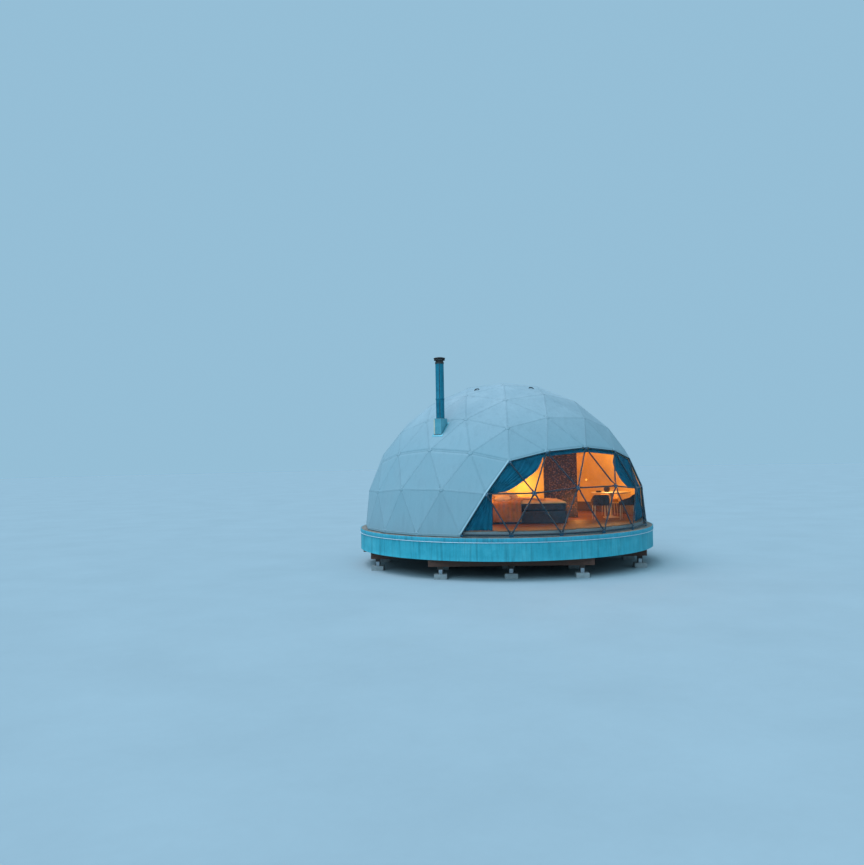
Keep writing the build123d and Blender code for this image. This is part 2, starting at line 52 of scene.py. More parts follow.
def smoothStep(x):
    x = max(0.0, min(1.0, x))
    return x * x * (3 - 2 * x)


def between(a, b, share):
    return a + (b - a) * share


def wavy(*where):
    return noise.noise(Vector(where))


# mesh helpers: each shape adds to a list of points and a list of faces


def addPiece(name, points, faces, material, slot, replaces=(), sharp=35, outward=False):
    mesh = bpy.data.meshes.new(name)
    mesh.from_pydata([tuple(p) for p in points], [], faces)
    work = bmesh.new()
    work.from_mesh(mesh)
    bmesh.ops.remove_doubles(work, verts=work.verts, dist=1e-5)
    bmesh.ops.dissolve_degenerate(work, edges=work.edges, dist=1e-6)
    bmesh.ops.recalc_face_normals(work, faces=work.faces)
    if outward:
        faceOutward(work, Vector())
    work.to_mesh(mesh)
    work.free()
    mesh.polygons.foreach_set("use_smooth", [True] * len(mesh.polygons))
    if sharp:
        mesh.set_sharp_from_angle(angle=math.radians(sharp))
    piece = bpy.data.objects.new(name, mesh)
    bpy.context.scene.collection.objects.link(piece)
    mesh.materials.append(material)
    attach(piece, "root")
    if replaces:
        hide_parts(*replaces)
    return piece


def faceOutward(work, middle):
    # turn an open sheet's faces away from the middle
    if sum(f.normal.dot(f.calc_center_median() - middle) for f in work.faces) < 0:
        bmesh.ops.reverse_faces(work, faces=work.faces)


def loft(points, faces, rings, capped=True, closed=False):
    start, count = len(points), len(rings[0])
    for ring in rings:
        points.extend(ring)
    for r in range(len(rings) if closed else len(rings) - 1):
        low, high = start + r * count, start + ((r + 1) % len(rings)) * count
        for k in range(count):
            faces.append((low + k, low + (k + 1) % count, high + (k + 1) % count, high + k))
    if capped and not closed:
        faces.append(tuple(range(start, start + count)))
        faces.append(tuple(range(start + (len(rings) - 1) * count, start + len(rings) * count)))


def ovalRing(centre, one, other, count):
    # one and other are the half axes
    angles = [fullTurn * k / count for k in range(count)]
    return [centre + one * math.cos(a) + other * math.sin(a) for a in angles]


def addGrid(points, faces, across, along, placeAt):
    start = len(points)
    for j in range(along + 1):
        for i in range(across + 1):
            points.append(placeAt(i / across, j / along))
    for j in range(along):
        for i in range(across):
            a = start + j * (across + 1) + i
            faces.append((a, a + 1, a + across + 2, a + across + 1))


def turned(points, faces, profile, place, segments=48, start=0.0, sweep=fullTurn, shift=None):
    # a profile of (radius, height) turned about the Z axis of a place; shift adds to the radius
    full = abs(sweep - fullTurn) < 1e-6
    rings = []
    for k in range(segments + (0 if full else 1)):
        angle = start + sweep * k / segments
        extra = shift(angle) if shift else 0.0
        aim = Vector((math.cos(angle), math.sin(angle), 0))
        rings.append([place @ (aim * (r + extra) + up * z) for r, z in profile])
    loft(points, faces, rings, capped=not full, closed=full)


def addBlock(points, faces, size, place, edge=0.0):
    # a block with chamfered edges, put in place by a matrix
    rings = []
    x, y, z = (side / 2 for side in size)
    e = edge
    for level, inset in ((-z, e), (-z + e, 0), (z - e, 0), (z, e)):
        a, b = x - inset, y - inset
        half = (a, b - e), (a - e, b), (-a + e, b), (-a, b - e)
        corners = [*half, *((-p, -q) for p, q in half)]
        rings.append([place @ Vector((*corner, level)) for corner in corners])
    loft(points, faces, rings)


def addDisc(points, faces, centre, axis, radius, low, high, sides=24, chamfer=0.001):
    one = axis.orthogonal().normalized()
    other = axis.cross(one)
    steps = (low, radius), (high - chamfer, radius), (high, radius - chamfer)
    loft(points, faces, [ovalRing(centre + axis * height, one * r, other * r, sides) for height, r in steps])


def roundedBox(points, faces, size, place, soften, steps=10, bulge=0.0):
    # a crowned pad: a box whose sides swell and whose corners pull in
    half = [side / 2 for side in size]
    for axis in range(3):
        for sign in (-1, 1):
            def faceAt(u, v, axis=axis, sign=sign):
                p = [0.0, 0.0, 0.0]
                p[axis] = sign
                p[(axis + 1) % 3] = (2 * u - 1) * sign
                p[(axis + 2) % 3] = 2 * v - 1
                core = Vector([max(-h + soften, min(h - soften, c * h)) for c, h in zip(p, half)])
                skin = Vector([c * h for c, h in zip(p, half)]) - core
                outward = skin.normalized() if skin.length > 1e-9 else up
                swell = bulge * (1 - p[0]**4) * (1 - p[1]**4) * (1 - 0.3 * p[2]**4)
                return place @ (core + outward * (soften + swell))

            addGrid(points, faces, steps, steps, faceAt)


def solidify(piece, thickness, offset=-1.0):
    thick = piece.modifiers.new("thickness", "SOLIDIFY")
    thick.thickness = thickness
    thick.offset = offset


def softenEdges(piece, width, segments=2, limit=40):
    bevel = piece.modifiers.new("edges", "BEVEL")
    bevel.width = width
    bevel.segments = segments
    bevel.limit_method = "ANGLE"
    bevel.angle_limit = math.radians(limit)


def moved(x, y, z):
    return Matrix.Translation((x, y, z))


def turnedBy(degrees, axis="Z"):
    return Matrix.Rotation(math.radians(degrees), 4, axis)


# materials


def addNode(tree, kind, inputs=None, **settings):
    made = tree.nodes.new("ShaderNode" + kind)
    for name, value in settings.items():
        setattr(made, name, value)
    for name, value in (inputs or {}).items():
        if isinstance(value, bpy.types.NodeSocket):
            tree.links.new(value, made.inputs[name])
        else:
            made.inputs[name].default_value = value
    return made


def ramp(tree, factor, stops):
    made = addNode(tree, "ValToRGB", {"Fac": factor})
    elements = made.color_ramp.elements
    while len(elements) < len(stops):
        elements.new(0.5)
    for element, (at, colour) in zip(elements, stops):
        element.position = at
        element.color = (*colour, 1)
    return made.outputs["Color"]


def grey(value):
    return (value, value, value)


def blend(tree, kind, factor, one, other):
    made = addNode(tree, "MixRGB", {"Fac": factor, "Color1": one, "Color2": other}, blend_type=kind)
    return made.outputs["Color"]


def combine(tree, operation, one, other):
    return addNode(tree, "Math", {0: one, 1: other}, operation=operation).outputs[0]


def cloudy(tree, where, scale, detail, rough=0.5):
    settings = {"Vector": where, "Scale": scale, "Detail": detail, "Roughness": rough}
    return addNode(tree, "TexNoise", settings).outputs["Fac"]


def mapped(tree, value, toLow, toHigh, fromLow=0.0, fromHigh=1.0):
    settings = {"Value": value, "From Min": fromLow, "From Max": fromHigh, "To Min": toLow, "To Max": toHigh}
    return addNode(tree, "MapRange", settings).outputs["Result"]


def heightAt(tree, where):
    return addNode(tree, "SeparateXYZ", {"Vector": where}).outputs["Z"]


def streaked(tree, colour, here, s):
    # dirt and damp that run down a wall
    runs = addNode(tree, "Mapping", {"Vector": here, "Scale": (1, 1, 0.06)}).outputs["Vector"]
    drip = cloudy(tree, runs, s["streakScale"], 5, 0.55)
    stops = [(0.36, grey(1 - s["streaks"])), (0.5, grey(1.0)), (0.66, grey(1 - s["streaks"] * 0.5))]
    return blend(tree, "MULTIPLY", 1.0, colour, ramp(tree, drip, stops))


def speckled(tree, colour, placed, s):
    # round dots in a part of the cells
    cells = addNode(tree, "TexVoronoi", {"Vector": placed, "Scale": s["speckScale"]})
    chance = addNode(tree, "SeparateColor", {"Color": cells.outputs["Color"]}).outputs[0]
    chosen = ramp(tree, chance, [(0.30, grey(0.0)), (0.75, grey(1.0))])
    dot = ramp(tree, cells.outputs["Distance"], [(0.30, grey(1.0)), (0.48, grey(0.0))])
    return blend(tree, "MIX", combine(tree, "MULTIPLY", chosen, dot), colour, (*s["specks"], 1))


def makeMaterial(name):
    material = bpy.data.materials.new(name)
    material.use_nodes = True
    tree = material.node_tree
    return material, tree, tree.nodes["Principled BSDF"], addNode(tree, "TexCoord").outputs["Object"]


def makeFinish(name, s):
    material, tree, shader, here = makeMaterial(name)
    if s.get("perPiece"):
        # each board takes its own part of the grain
        chance = addNode(tree, "NewGeometry").outputs["Random Per Island"]
        far = {0: (17.3, 9.1, 5.7), "Scale": chance}
        jump = addNode(tree, "VectorMath", far, operation="SCALE").outputs[0]
        here = addNode(tree, "VectorMath", {0: here, 1: jump}, operation="ADD").outputs[0]
    turn = (0, 0, math.radians(s.get("turn", 0)))
    grain = {"Vector": here, "Rotation": turn, "Scale": s.get("stretch", (1, 1, 1))}
    placed = addNode(tree, "Mapping", grain).outputs["Vector"]
    broad = cloudy(tree, placed, s["broad"], 6, 0.62)
    fine = cloudy(tree, placed, s["fine"], 4, 0.7)
    tones = s["tones"]
    stops = [(between(0.32, 0.68, k / (len(tones) - 1)), tone) for k, tone in enumerate(tones)]
    colour = ramp(tree, broad, stops)
    shade = ramp(tree, fine, [(0.3, grey(1 - s.get("grime", 0.12))), (0.7, grey(1.0))])
    colour = blend(tree, "MULTIPLY", 1.0, colour, shade)
    if s.get("perPiece"):
        vary = ramp(tree, chance, [(0.0, grey(1 - s["perPiece"])), (1.0, grey(1.0))])
        colour = blend(tree, "MULTIPLY", 1.0, colour, vary)
    if s.get("streaks"):
        colour = streaked(tree, colour, here, s)
    if s.get("specks"):
        colour = speckled(tree, colour, placed, s)
    if s.get("lowerTone"):
        # dust gathers low down
        # the colour turns darker and bluer towards the bottom, in patches
        tone, low, high = s["lowerTone"]
        lowDown = mapped(tree, heightAt(tree, here), 1.0, 0.0, low, high)
        colour = blend(tree, "MIX", combine(tree, "MULTIPLY", lowDown, broad), colour, (*tone, 1))
    if s.get("foot"):
        # a band of another tone below a height
        tone, top = s["foot"]
        under = combine(tree, "LESS_THAN", heightAt(tree, here), top)
        colour = blend(tree, "MIX", under, colour, (*tone, 1))
    tree.links.new(colour, shader.inputs["Base Color"])
    tree.links.new(mapped(tree, fine, *s["rough"]), shader.inputs["Roughness"])
    height = fine
    if s.get("weave"):
        # sets of threads that cross
        threads = [
            addNode(tree, "TexWave", {"Vector": here, "Scale": s["weave"], "Distortion": 1.2, "Detail": 1},
                    bands_direction=axis).outputs["Fac"]
            for axis in "XYZ"
        ]
        woven = combine(tree, "ADD", combine(tree, "ADD", threads[0], threads[1]), threads[2])
        height = combine(tree, "ADD", woven, fine)
    if s.get("dents"):
        scale, depth = s["dents"]
        wide = combine(tree, "MULTIPLY", cloudy(tree, here, scale, 3), depth)
        height = combine(tree, "ADD", wide, height)
    relief = {"Strength": s.get("bump", 0.25), "Distance": s.get("relief", 0.002), "Height": height}
    tree.links.new(addNode(tree, "Bump", relief).outputs["Normal"], shader.inputs["Normal"])
    for socket, value in s.get("sockets", {}).items():
        shader.inputs[socket].default_value = value
    return material


def makeClearSheet(s):
    material, tree, shader, here = makeMaterial("clearSheet")
    cloud = cloudy(tree, here, s["haze"], 6, 0.65)
    tree.links.new(mapped(tree, cloud, *s["alpha"], 0.35, 0.75), shader.inputs["Alpha"])
    tree.links.new(mapped(tree, cloud, *s["rough"]), shader.inputs["Roughness"])
    wave = addNode(tree, "Bump", {"Strength": s["bump"], "Distance": s["relief"], "Height": cloud})
    tree.links.new(wave.outputs["Normal"], shader.inputs["Normal"])
    shader.inputs["Base Color"].default_value = s["tint"]
    shader.inputs["Specular IOR Level"].default_value = s["shine"]
    return material


# tones run from dark to light patches; grime darkens fine spots; perPiece is how much boards differ
finishes = {
    "coverSkin": dict(
        tones=((0.33, 0.44, 0.48), (0.38, 0.485, 0.52), (0.44, 0.54, 0.575)), broad=1.1, fine=24,
        grime=0.07, streaks=0.08, streakScale=7, rough=(0.5, 0.68), bump=0.18, relief=0.004, dents=(5, 6),
        # the cover is darker and bluer below 4.6 m, fully so below 3.3 m
        lowerTone=((0.19, 0.36, 0.41), 3.3, 4.6), sockets={"Specular IOR Level": 0.3}),
    "borderStrip": dict(
        tones=((0.40, 0.58, 0.63), (0.47, 0.64, 0.69)), broad=3, fine=60, grime=0.08, rough=(0.4, 0.55),
        bump=0.2, relief=0.001),
    "coverSeam": dict(
        tones=((0.42, 0.555, 0.595), (0.48, 0.61, 0.645)), broad=3, fine=60, grime=0.08, rough=(0.5, 0.65),
        bump=0.2, relief=0.001),
    "galvanised": dict(
        tones=((0.30, 0.34, 0.38), (0.52, 0.56, 0.60), (0.40, 0.44, 0.48)), broad=26, fine=120, grime=0.3,
        rough=(0.28, 0.5), bump=0.15, relief=0.0006, sockets={"Metallic": 0.9}),
    "bayTube": dict(
        tones=((0.015, 0.026, 0.037), (0.030, 0.047, 0.062), (0.022, 0.036, 0.049)), broad=20, fine=110,
        grime=0.3, rough=(0.3, 0.5), bump=0.12, relief=0.0005,
        sockets={"Metallic": 0.1, "Specular IOR Level": 0.35}),
    "darkHub": dict(
        tones=((0.006, 0.06, 0.115), (0.015, 0.10, 0.175)), broad=14, fine=90, grime=0.3, rough=(0.35, 0.6),
        relief=0.0006, sockets={"Metallic": 0.3}),
    "boltSteel": dict(
        tones=((0.40, 0.42, 0.44), (0.60, 0.62, 0.64)), broad=40, fine=200, grime=0.4, rough=(0.3, 0.5),
        bump=0.2, relief=0.0004, sockets={"Metallic": 1.0}),
    "liningCloth": dict(
        tones=((0.74, 0.48, 0.11), (0.86, 0.60, 0.17)), foot=((0.10, 0.065, 0.06), 1.50), broad=2.2,
        fine=40, rough=(0.75, 0.95), bump=0.5, relief=0.004, weave=26, dents=(7, 5),
        sockets={"Sheen Weight": 0.2}),
    "tealCloth": dict(
        tones=((0.001, 0.065, 0.11), (0.002, 0.105, 0.17), (0.003, 0.14, 0.215)), broad=5, fine=160,
        grime=0.25, rough=(0.8, 0.95), bump=0.35, relief=0.0012, weave=120,
        sockets={"Specular IOR Level": 0.15}),
    "porchPaint": dict(
        tones=((0.40, 0.51, 0.56), (0.48, 0.58, 0.63)), broad=2, fine=30, grime=0.1, streaks=0.12,
        streakScale=9, rough=(0.4, 0.6), bump=0.15, relief=0.001),
    "doorPaint": dict(
        tones=((0.10, 0.15, 0.18), (0.15, 0.20, 0.24)), broad=4, fine=60, grime=0.2, rough=(0.35, 0.55),
        bump=0.2, relief=0.0008, stretch=(1, 1, 0.2)),
    "redFloor": dict(
        tones=((0.15, 0.065, 0.024), (0.28, 0.13, 0.05), (0.21, 0.095, 0.035)), broad=5, fine=50,
        grime=0.3, perPiece=0.35, stretch=(0.25, 5, 5), turn=33.5, rough=(0.5, 0.7), relief=0.001,
        sockets={"Specular IOR Level": 0.3}),
    "deckBoard": dict(
        tones=((0.30, 0.24, 0.19), (0.44, 0.36, 0.29), (0.36, 0.30, 0.25)), broad=5, fine=55, grime=0.35,
        perPiece=0.35, stretch=(5, 0.25, 5), turn=36, rough=(0.6, 0.85), bump=0.5, relief=0.0015),
    "foam": dict(
        tones=((0.24, 0.26, 0.26), (0.32, 0.33, 0.32)), broad=12, fine=180, grime=0.15, rough=(0.8, 0.95),
        bump=0.4, relief=0.001),
    "stainedTimber": dict(
        tones=((0.09, 0.035, 0.022), (0.19, 0.075, 0.045), (0.13, 0.05, 0.03)), broad=4, fine=60,
        grime=0.4, perPiece=0.3, stretch=(0.25, 5, 5), turn=36, rough=(0.55, 0.85), bump=0.5),
    "crossTimber": dict(
        tones=((0.08, 0.035, 0.022), (0.17, 0.07, 0.045), (0.12, 0.045, 0.03)), broad=4, fine=60,
        grime=0.4, perPiece=0.3, stretch=(5, 0.25, 5), turn=36, rough=(0.55, 0.85), bump=0.5),
    "postTimber": dict(
        tones=((0.035, 0.025, 0.02), (0.09, 0.055, 0.04)), broad=5, fine=60, grime=0.4, perPiece=0.3,
        stretch=(5, 5, 0.3), rough=(0.6, 0.9), bump=0.5),
    "padConcrete": dict(
        tones=((0.30, 0.31, 0.31), (0.46, 0.47, 0.46)), broad=8, fine=90, grime=0.25, rough=(0.8, 0.95),
        bump=0.6, relief=0.003),
    "kerbPaint": dict(
        tones=((0.04, 0.40, 0.52), (0.065, 0.48, 0.60)), broad=3, fine=50, grime=0.2, streaks=0.25,
        streakScale=10, rough=(0.5, 0.7), bump=0.2, relief=0.001, sockets={"Specular IOR Level": 0.3}),
    "trimMetal": dict(
        tones=((0.62, 0.74, 0.80), (0.78, 0.86, 0.90)), broad=9, fine=80, grime=0.25, rough=(0.3, 0.5),
        bump=0.15, relief=0.0006, sockets={"Metallic": 0.2}),
    "skirtSheet": dict(
        tones=((0.032, 0.39, 0.48), (0.05, 0.455, 0.55), (0.083, 0.515, 0.605)), broad=2.2, fine=42,
        streaks=0.26, streakScale=11, rough=(0.5, 0.7), relief=0.0015, dents=(6, 3),
        sockets={"Specular IOR Level": 0.3}),
    "flueSteel": dict(
        tones=((0.006, 0.18, 0.265), (0.014, 0.235, 0.33), (0.005, 0.155, 0.23)), broad=5, fine=70,
        grime=0.25, streaks=0.35, streakScale=14, rough=(0.45, 0.6), bump=0.12, relief=0.0006,
        sockets={"Metallic": 0.15, "Specular IOR Level": 0.2}),
    "sootyCowl": dict(
        tones=((0.03, 0.028, 0.03), (0.09, 0.07, 0.06), (0.05, 0.06, 0.07)), broad=10, fine=90, grime=0.4,
        rough=(0.5, 0.8), bump=0.5, relief=0.0015, sockets={"Metallic": 0.4}),
    "bootSheet": dict(
        tones=((0.13, 0.46, 0.54), (0.22, 0.57, 0.65)), broad=6, fine=60, grime=0.25, streaks=0.2,
        streakScale=12, rough=(0.3, 0.55), bump=0.2, relief=0.001, sockets={"Metallic": 0.45}),
    "sealant": dict(
        tones=((0.05, 0.06, 0.07), (0.10, 0.11, 0.12)), broad=30, fine=160, grime=0.2, rough=(0.5, 0.7),
        bump=0.5, relief=0.001),
    "speckledBoard": dict(
        tones=((0.024, 0.032, 0.042), (0.060, 0.048, 0.046), (0.034, 0.044, 0.060)), broad=4, fine=60,
        grime=0.5, specks=(0.42, 0.21, 0.13), speckScale=32, rough=(0.45, 0.7), bump=0.35, relief=0.001),
    "slateCloth": dict(
        tones=((0.058, 0.055, 0.062), (0.105, 0.094, 0.102)), broad=7, fine=150, grime=0.25,
        rough=(0.8, 0.98),
        bump=0.5, relief=0.0015, weave=90, sockets={"Specular IOR Level": 0.2}),
    "creamBedding": dict(
        tones=((0.72, 0.48, 0.18), (0.85, 0.62, 0.28)), broad=4, fine=90, grime=0.08, rough=(0.8, 0.98),
        bump=0.4, relief=0.0015, weave=110, dents=(14, 3), sockets={"Sheen Weight": 0.25}),
    "pillowLinen": dict(
        tones=((0.84, 0.68, 0.42), (0.94, 0.80, 0.56)), broad=5, fine=100, grime=0.06, rough=(0.8, 0.98),
        bump=0.4, relief=0.0012, weave=120, dents=(10, 3), sockets={"Sheen Weight": 0.2}),
    "rustWool": dict(
        tones=((0.30, 0.13, 0.035), (0.56, 0.26, 0.07), (0.43, 0.19, 0.05)), broad=6, fine=150,
        grime=0.25, rough=(0.85, 0.98), bump=0.6, weave=70, sockets={"Sheen Weight": 0.5}),
    "oiledWood": dict(
        tones=((0.74, 0.58, 0.34), (0.86, 0.71, 0.45), (0.80, 0.65, 0.40)), broad=4, fine=50, grime=0.25,
        stretch=(0.4, 6, 6), turn=33.5, rough=(0.3, 0.5), relief=0.0008, sockets={"Coat Weight": 0.3}),
    "chairCloth": dict(
        tones=((0.075, 0.055, 0.052), (0.13, 0.095, 0.088)), broad=9, fine=170, grime=0.3,
        rough=(0.8, 0.98),
        bump=0.5, relief=0.0012, weave=100, sockets={"Specular IOR Level": 0.2}),
    "amberVelvet": dict(
        tones=((0.66, 0.36, 0.05), (0.84, 0.50, 0.09)), broad=8, fine=140, grime=0.2, rough=(0.7, 0.95),
        bump=0.4, relief=0.001, weave=130, sockets={"Sheen Weight": 0.7}),
    "darkGlaze": dict(
        tones=((0.03, 0.025, 0.025), (0.07, 0.05, 0.045)), broad=12, fine=90, grime=0.3, rough=(0.2, 0.4),
        bump=0.15, relief=0.0006),
    "litGlass": dict(
        tones=((0.75, 0.38, 0.08), (0.88, 0.50, 0.14)), broad=20, fine=90, grime=0.1, rough=(0.2, 0.35),
        bump=0.1, relief=0.0004,
        sockets={"Emission Color": (1.0, 0.46, 0.09, 1), "Emission Strength": 1.1}),
    "creamStrip": dict(
        tones=((0.70, 0.62, 0.46), (0.84, 0.76, 0.60)), broad=8, fine=90, grime=0.2, rough=(0.5, 0.7),
        bump=0.3, relief=0.0008),
    "strapWeb": dict(
        tones=((0.012, 0.02, 0.03), (0.03, 0.04, 0.055)), broad=30, fine=200, grime=0.3, rough=(0.7, 0.9),
        bump=0.5, relief=0.0008),
    "studioFloor": dict(
        tones=((0.395, 0.475, 0.50), (0.425, 0.51, 0.535)), broad=0.4, fine=6, grime=0.02,
        rough=(0.8, 0.95),
        bump=0.05, sockets={"Specular IOR Level": 0.05}),
}
finish = {name: makeFinish(name, settings) for name, settings in finishes.items()}
clearSheet = dict(
    tint=(0.10, 0.42, 0.58, 1), alpha=(0.01, 0.045), rough=(0.04, 0.16), haze=9, shine=0.25, bump=0.2,
    relief=0.004)
finish["clearSheet"] = makeClearSheet(clearSheet)
print("finishes made:", len(finish))

# the dome's hubs and facets

dome = dict(radius=4.0, frequency=4, baseHeight=1.1)
lifted = up * dome["baseHeight"]


def towards(azimuth, elevation):
    flat = math.cos(math.radians(elevation))
    a = math.radians(azimuth)
    return Vector((flat * math.sin(a), -flat * math.cos(a), math.sin(math.radians(elevation))))


def facetsOf(a, b, c):
    # the triangles of one icosahedron face, pushed out to the sphere, that lie above the base
    steps = dome["frequency"]

    def hub(i, k):
        return (a + (b - a) * (i / steps) + (c - b) * (k / steps)).normalized() * dome["radius"]

    found = []
    for i in range(steps):
        for k in range(i + 1):
            found.append((hub(i, k), hub(i + 1, k), hub(i + 1, k + 1)))
            if k < i:
                found.append((hub(i, k), hub(i + 1, k + 1), hub(i, k + 1)))
    return [facet for facet in found if min(p.z for p in facet) > -0.01]


ringAngle = math.degrees(math.acos(2 / math.sqrt(5)))
upper = [towards(72 * (j - 0.5), ringAngle) for j in range(5)]
lower = [towards(72 * j, -ringAngle) for j in range(5)]
roofFaces = [facetsOf(up, upper[j], upper[(j + 1) % 5]) for j in range(5)]
wallFaces = [facetsOf(upper[j], lower[j], upper[(j + 1) % 5]) for j in range(5)]
tipFaces = [facetsOf(upper[j], lower[j - 1], lower[j]) for j in range(5)]
roofFacets = sum(roofFaces, [])
sideFacets = sum(wallFaces + tipFaces, [])
closedSides = sum(wallFaces[1:] + tipFaces[2:], [])
bayFacets = tipFaces[0] + wallFaces[0] + tipFaces[1]


def keyOf(p):
    return (round(p.x * 1000), round(p.y * 1000), round(p.z * 1000))


hubs = {keyOf(p): p for facet in roofFacets + sideFacets for p in facet}
bayHubs = {keyOf(p): p for facet in bayFacets for p in facet}


def edgeName(p, q):
    return tuple(sorted((keyOf(p), keyOf(q))))


def edgesOf(facets):
    sides = [(facet[n], facet[(n + 1) % 3]) for facet in facets for n in range(3)]
    names = dict.fromkeys(edgeName(p, q) for p, q in sides)
    return {name: (hubs[name[0]], hubs[name[1]]) for name in names}


def nearestHub(azimuth, elevation):
    aim = towards(azimuth, elevation) * dome["radius"]
    return min(hubs.values(), key=lambda p: (p - aim).length)


def ontoFacets(direction, facets, offset):
    # where a ray from the dome's middle meets the facets, moved out by the offset
    best, bestInside = None, -1e9
    aim = direction.normalized()
    for a, b, c in facets:
        normal = (b - a).cross(c - a)
        p = aim * (normal.dot(a) / normal.dot(aim))
        area = normal.length_squared
        inside = min((t - s).cross(p - s).dot(normal) / area for s, t in ((a, b), (b, c), (c, a)))
        if inside > bestInside:
            best, bestInside = p, inside
        if inside >= 0:
            break
    return best * ((dome["radius"] + offset) / dome["radius"]) + lifted


# sheets stretched over the frame

porch = dict(width=1.04, top=3.2, gap=0.0005, nearWidth=1.2, nearFrom=1.5)


def cutEntrance(work):
    half = porch["width"] / 2 + porch["gap"]
    top = porch["top"] + porch["gap"]
    for place, normal in (((half, 0, 0), (1, 0, 0)), ((-half, 0, 0), (-1, 0, 0)), ((0, 0, top), (0, 0, 1))):
        near = []
        for face in work.faces:
            middle = face.calc_center_median()
            if middle.y > porch["nearFrom"] and abs(middle.x) < porch["nearWidth"]:
                near.append(face)
        parts = near + list({e for f in near for e in f.edges}) + list({v for f in near for v in f.verts})
        bmesh.ops.bisect_plane(work, geom=parts, plane_co=place, plane_no=normal, dist=1e-5)
    gone = []
    for face in work.faces:
        middle = face.calc_center_median()
        if middle.y > 0 and abs(middle.x) < half and middle.z < top:
            gone.append(face)
    bmesh.ops.delete(work, geom=gone, context="FACES")


def sheetPoint(facet, base, s, lift=0.0):
    # where a stretched sheet lies over a point of the flat facet
    a, b, c = facet
    normal = (b - a).cross(c - a)
    area = normal.length_squared
    shares = [(t - f).cross(base - f).dot(normal) / area for f, t in ((b, c), (c, a), (a, b))]
    outward = normal.normalized() * (1 if normal.dot(base) > 0 else -1)
    side = (b - a).normalized()
    other = outward.cross(side)
    held = smoothStep(min(shares) * 7)
    crease = s["ripple"] * (wavy(*base * 2.3) + 0.25 * wavy(*base * 9))
    for corner in facet:
        # folds run out from each hub
        away = base - corner
        angle = math.atan2(away.dot(other), away.dot(side))
        crease += s["fold"] * math.sin(angle * 15 + 6 * wavy(*corner * 3.1)) * math.exp(-away.length / 0.32)
    bulge = s["bulge"] * 27 * max(0, shares[0]) * max(0, shares[1]) * max(0, shares[2])
    scale = (dome["radius"] + s["offset"]) / dome["radius"]
    return base * scale + outward * (bulge + crease * held + lift) + lifted


def addHem(work, depth):
    # the foot of the sheet hangs straight down in two steps
    foot = dome["baseHeight"] + 0.002
    edges = [e for e in work.edges if e.is_boundary and all(v.co.z < foot for v in e.verts)]
    for n in range(2):
        made = bmesh.ops.extrude_edge_only(work, edges=edges)["geom"]
        corners = [g for g in made if isinstance(g, bmesh.types.BMVert)]
        bmesh.ops.translate(work, verts=corners, vec=(0, 0, -depth / 2))
        edges = [g for g in made if isinstance(g, bmesh.types.BMEdge)]


def stretchedSheet(name, facets, s, material, slot, replaces):
    steps, points, faces, known = s["steps"], [], [], {}

    def cornerAt(facet, i, k):
        a, b, c = facet
        base = a + (b - a) * (i / steps) + (c - b) * (k / steps)
        spot = tuple(round(x, 4) for x in base)
        if spot not in known:
            known[spot] = len(points)
            points.append(sheetPoint(facet, base, s))
        return known[spot]

    for facet in facets:
        for i in range(steps):
            for k in range(i + 1):
                a, b, c = cornerAt(facet, i, k), cornerAt(facet, i + 1, k), cornerAt(facet, i + 1, k + 1)
                faces.append((a, b, c))
                if k < i:
                    faces.append((a, c, cornerAt(facet, i, k + 1)))
    piece = addPiece(name, points, faces, material, slot, replaces, sharp=0, outward=True)
    work = bmesh.new()
    work.from_mesh(piece.data)
    if s.get("hem"):
        addHem(work, s["hem"])
    if s.get("entrance"):
        cutEntrance(work)
    bmesh.ops.recalc_face_normals(work, faces=work.faces)
    faceOutward(work, lifted)
    work.to_mesh(piece.data)
    work.free()
    piece.data.polygons.foreach_set("use_smooth", [True] * len(piece.data.polygons))
    if s.get("crisp"):
        piece.data.set_sharp_from_angle(angle=math.radians(s["crisp"]))
    solidify(piece, s["thickness"])
    return piece


cover = dict(
    offset=0.0245, steps=12, bulge=0.002, ripple=0.006, fold=0.0015, hem=0.048, thickness=0.003, crisp=6,
    seamWidth=0.024, seamLift=0.0005, patch=0.062)
coverParts = {  # facets, node that it stands for, reaches the entrance, reaches the deck, flat size
    "cover_roof_skin": (roofFacets, "cover_roof", True, False, (8.2, 8.2)),
    "cover_right_skin": (wallFaces[1] + tipFaces[2], "cover_wall_right", False, True, (4.2, 4.6)),
    "cover_left_skin": (wallFaces[4] + tipFaces[4], "cover_wall_left", False, True, (4.2, 4.6)),
    "cover_back_skin": (
        wallFaces[2] + tipFaces[3] + wallFaces[3], "cover_wall_back", True, True, (4.2, 6.8)),
}
for name, (facets, node, entrance, hemmed, flat) in coverParts.items():
    settings = dict(cover, entrance=entrance, hem=cover["hem"] if hemmed else 0)
    skin = stretchedSheet(name, facets, settings, finish["coverSkin"], "cover_fabric", (node,))


def coverSeams(name, facets, s, material, slot):
    # a welded strip along each side of a facet, mitred at the corners, and a patch on each hub
    points, faces = [], []
    for facet in facets:
        middle = sum(facet, Vector()) / 3
        for n in range(3):
            p, q, r = facet[n], facet[(n + 1) % 3], facet[(n + 2) % 3]
            deep = 3 * s["seamWidth"] * (q - p).length / (q - p).cross(r - p).length
            pIn, qIn = between(p, middle, deep), between(q, middle, deep)

            def stripAt(u, v, p=p, q=q, pIn=pIn, qIn=qIn, facet=facet):
                spot = between(between(p, q, u), between(pIn, qIn, u), v)
                return sheetPoint(facet, spot, s, s["seamLift"])

            def patchAt(u, v, p=p, q=q, r=r, facet=facet):
                aim = between((q - p).normalized(), (r - p).normalized(), u).normalized()
                return sheetPoint(facet, p + aim * (0.001 + v * s["patch"]), s, 2 * s["seamLift"])

            addGrid(points, faces, 10, 2, stripAt)
            addGrid(points, faces, 4, 2, patchAt)
    piece = addPiece(name, points, faces, material, slot, sharp=0, outward=True)
    work = bmesh.new()
    work.from_mesh(piece.data)
    cutEntrance(work)
    work.to_mesh(piece.data)
    work.free()
    solidify(piece, s["seamLift"] * 0.9)


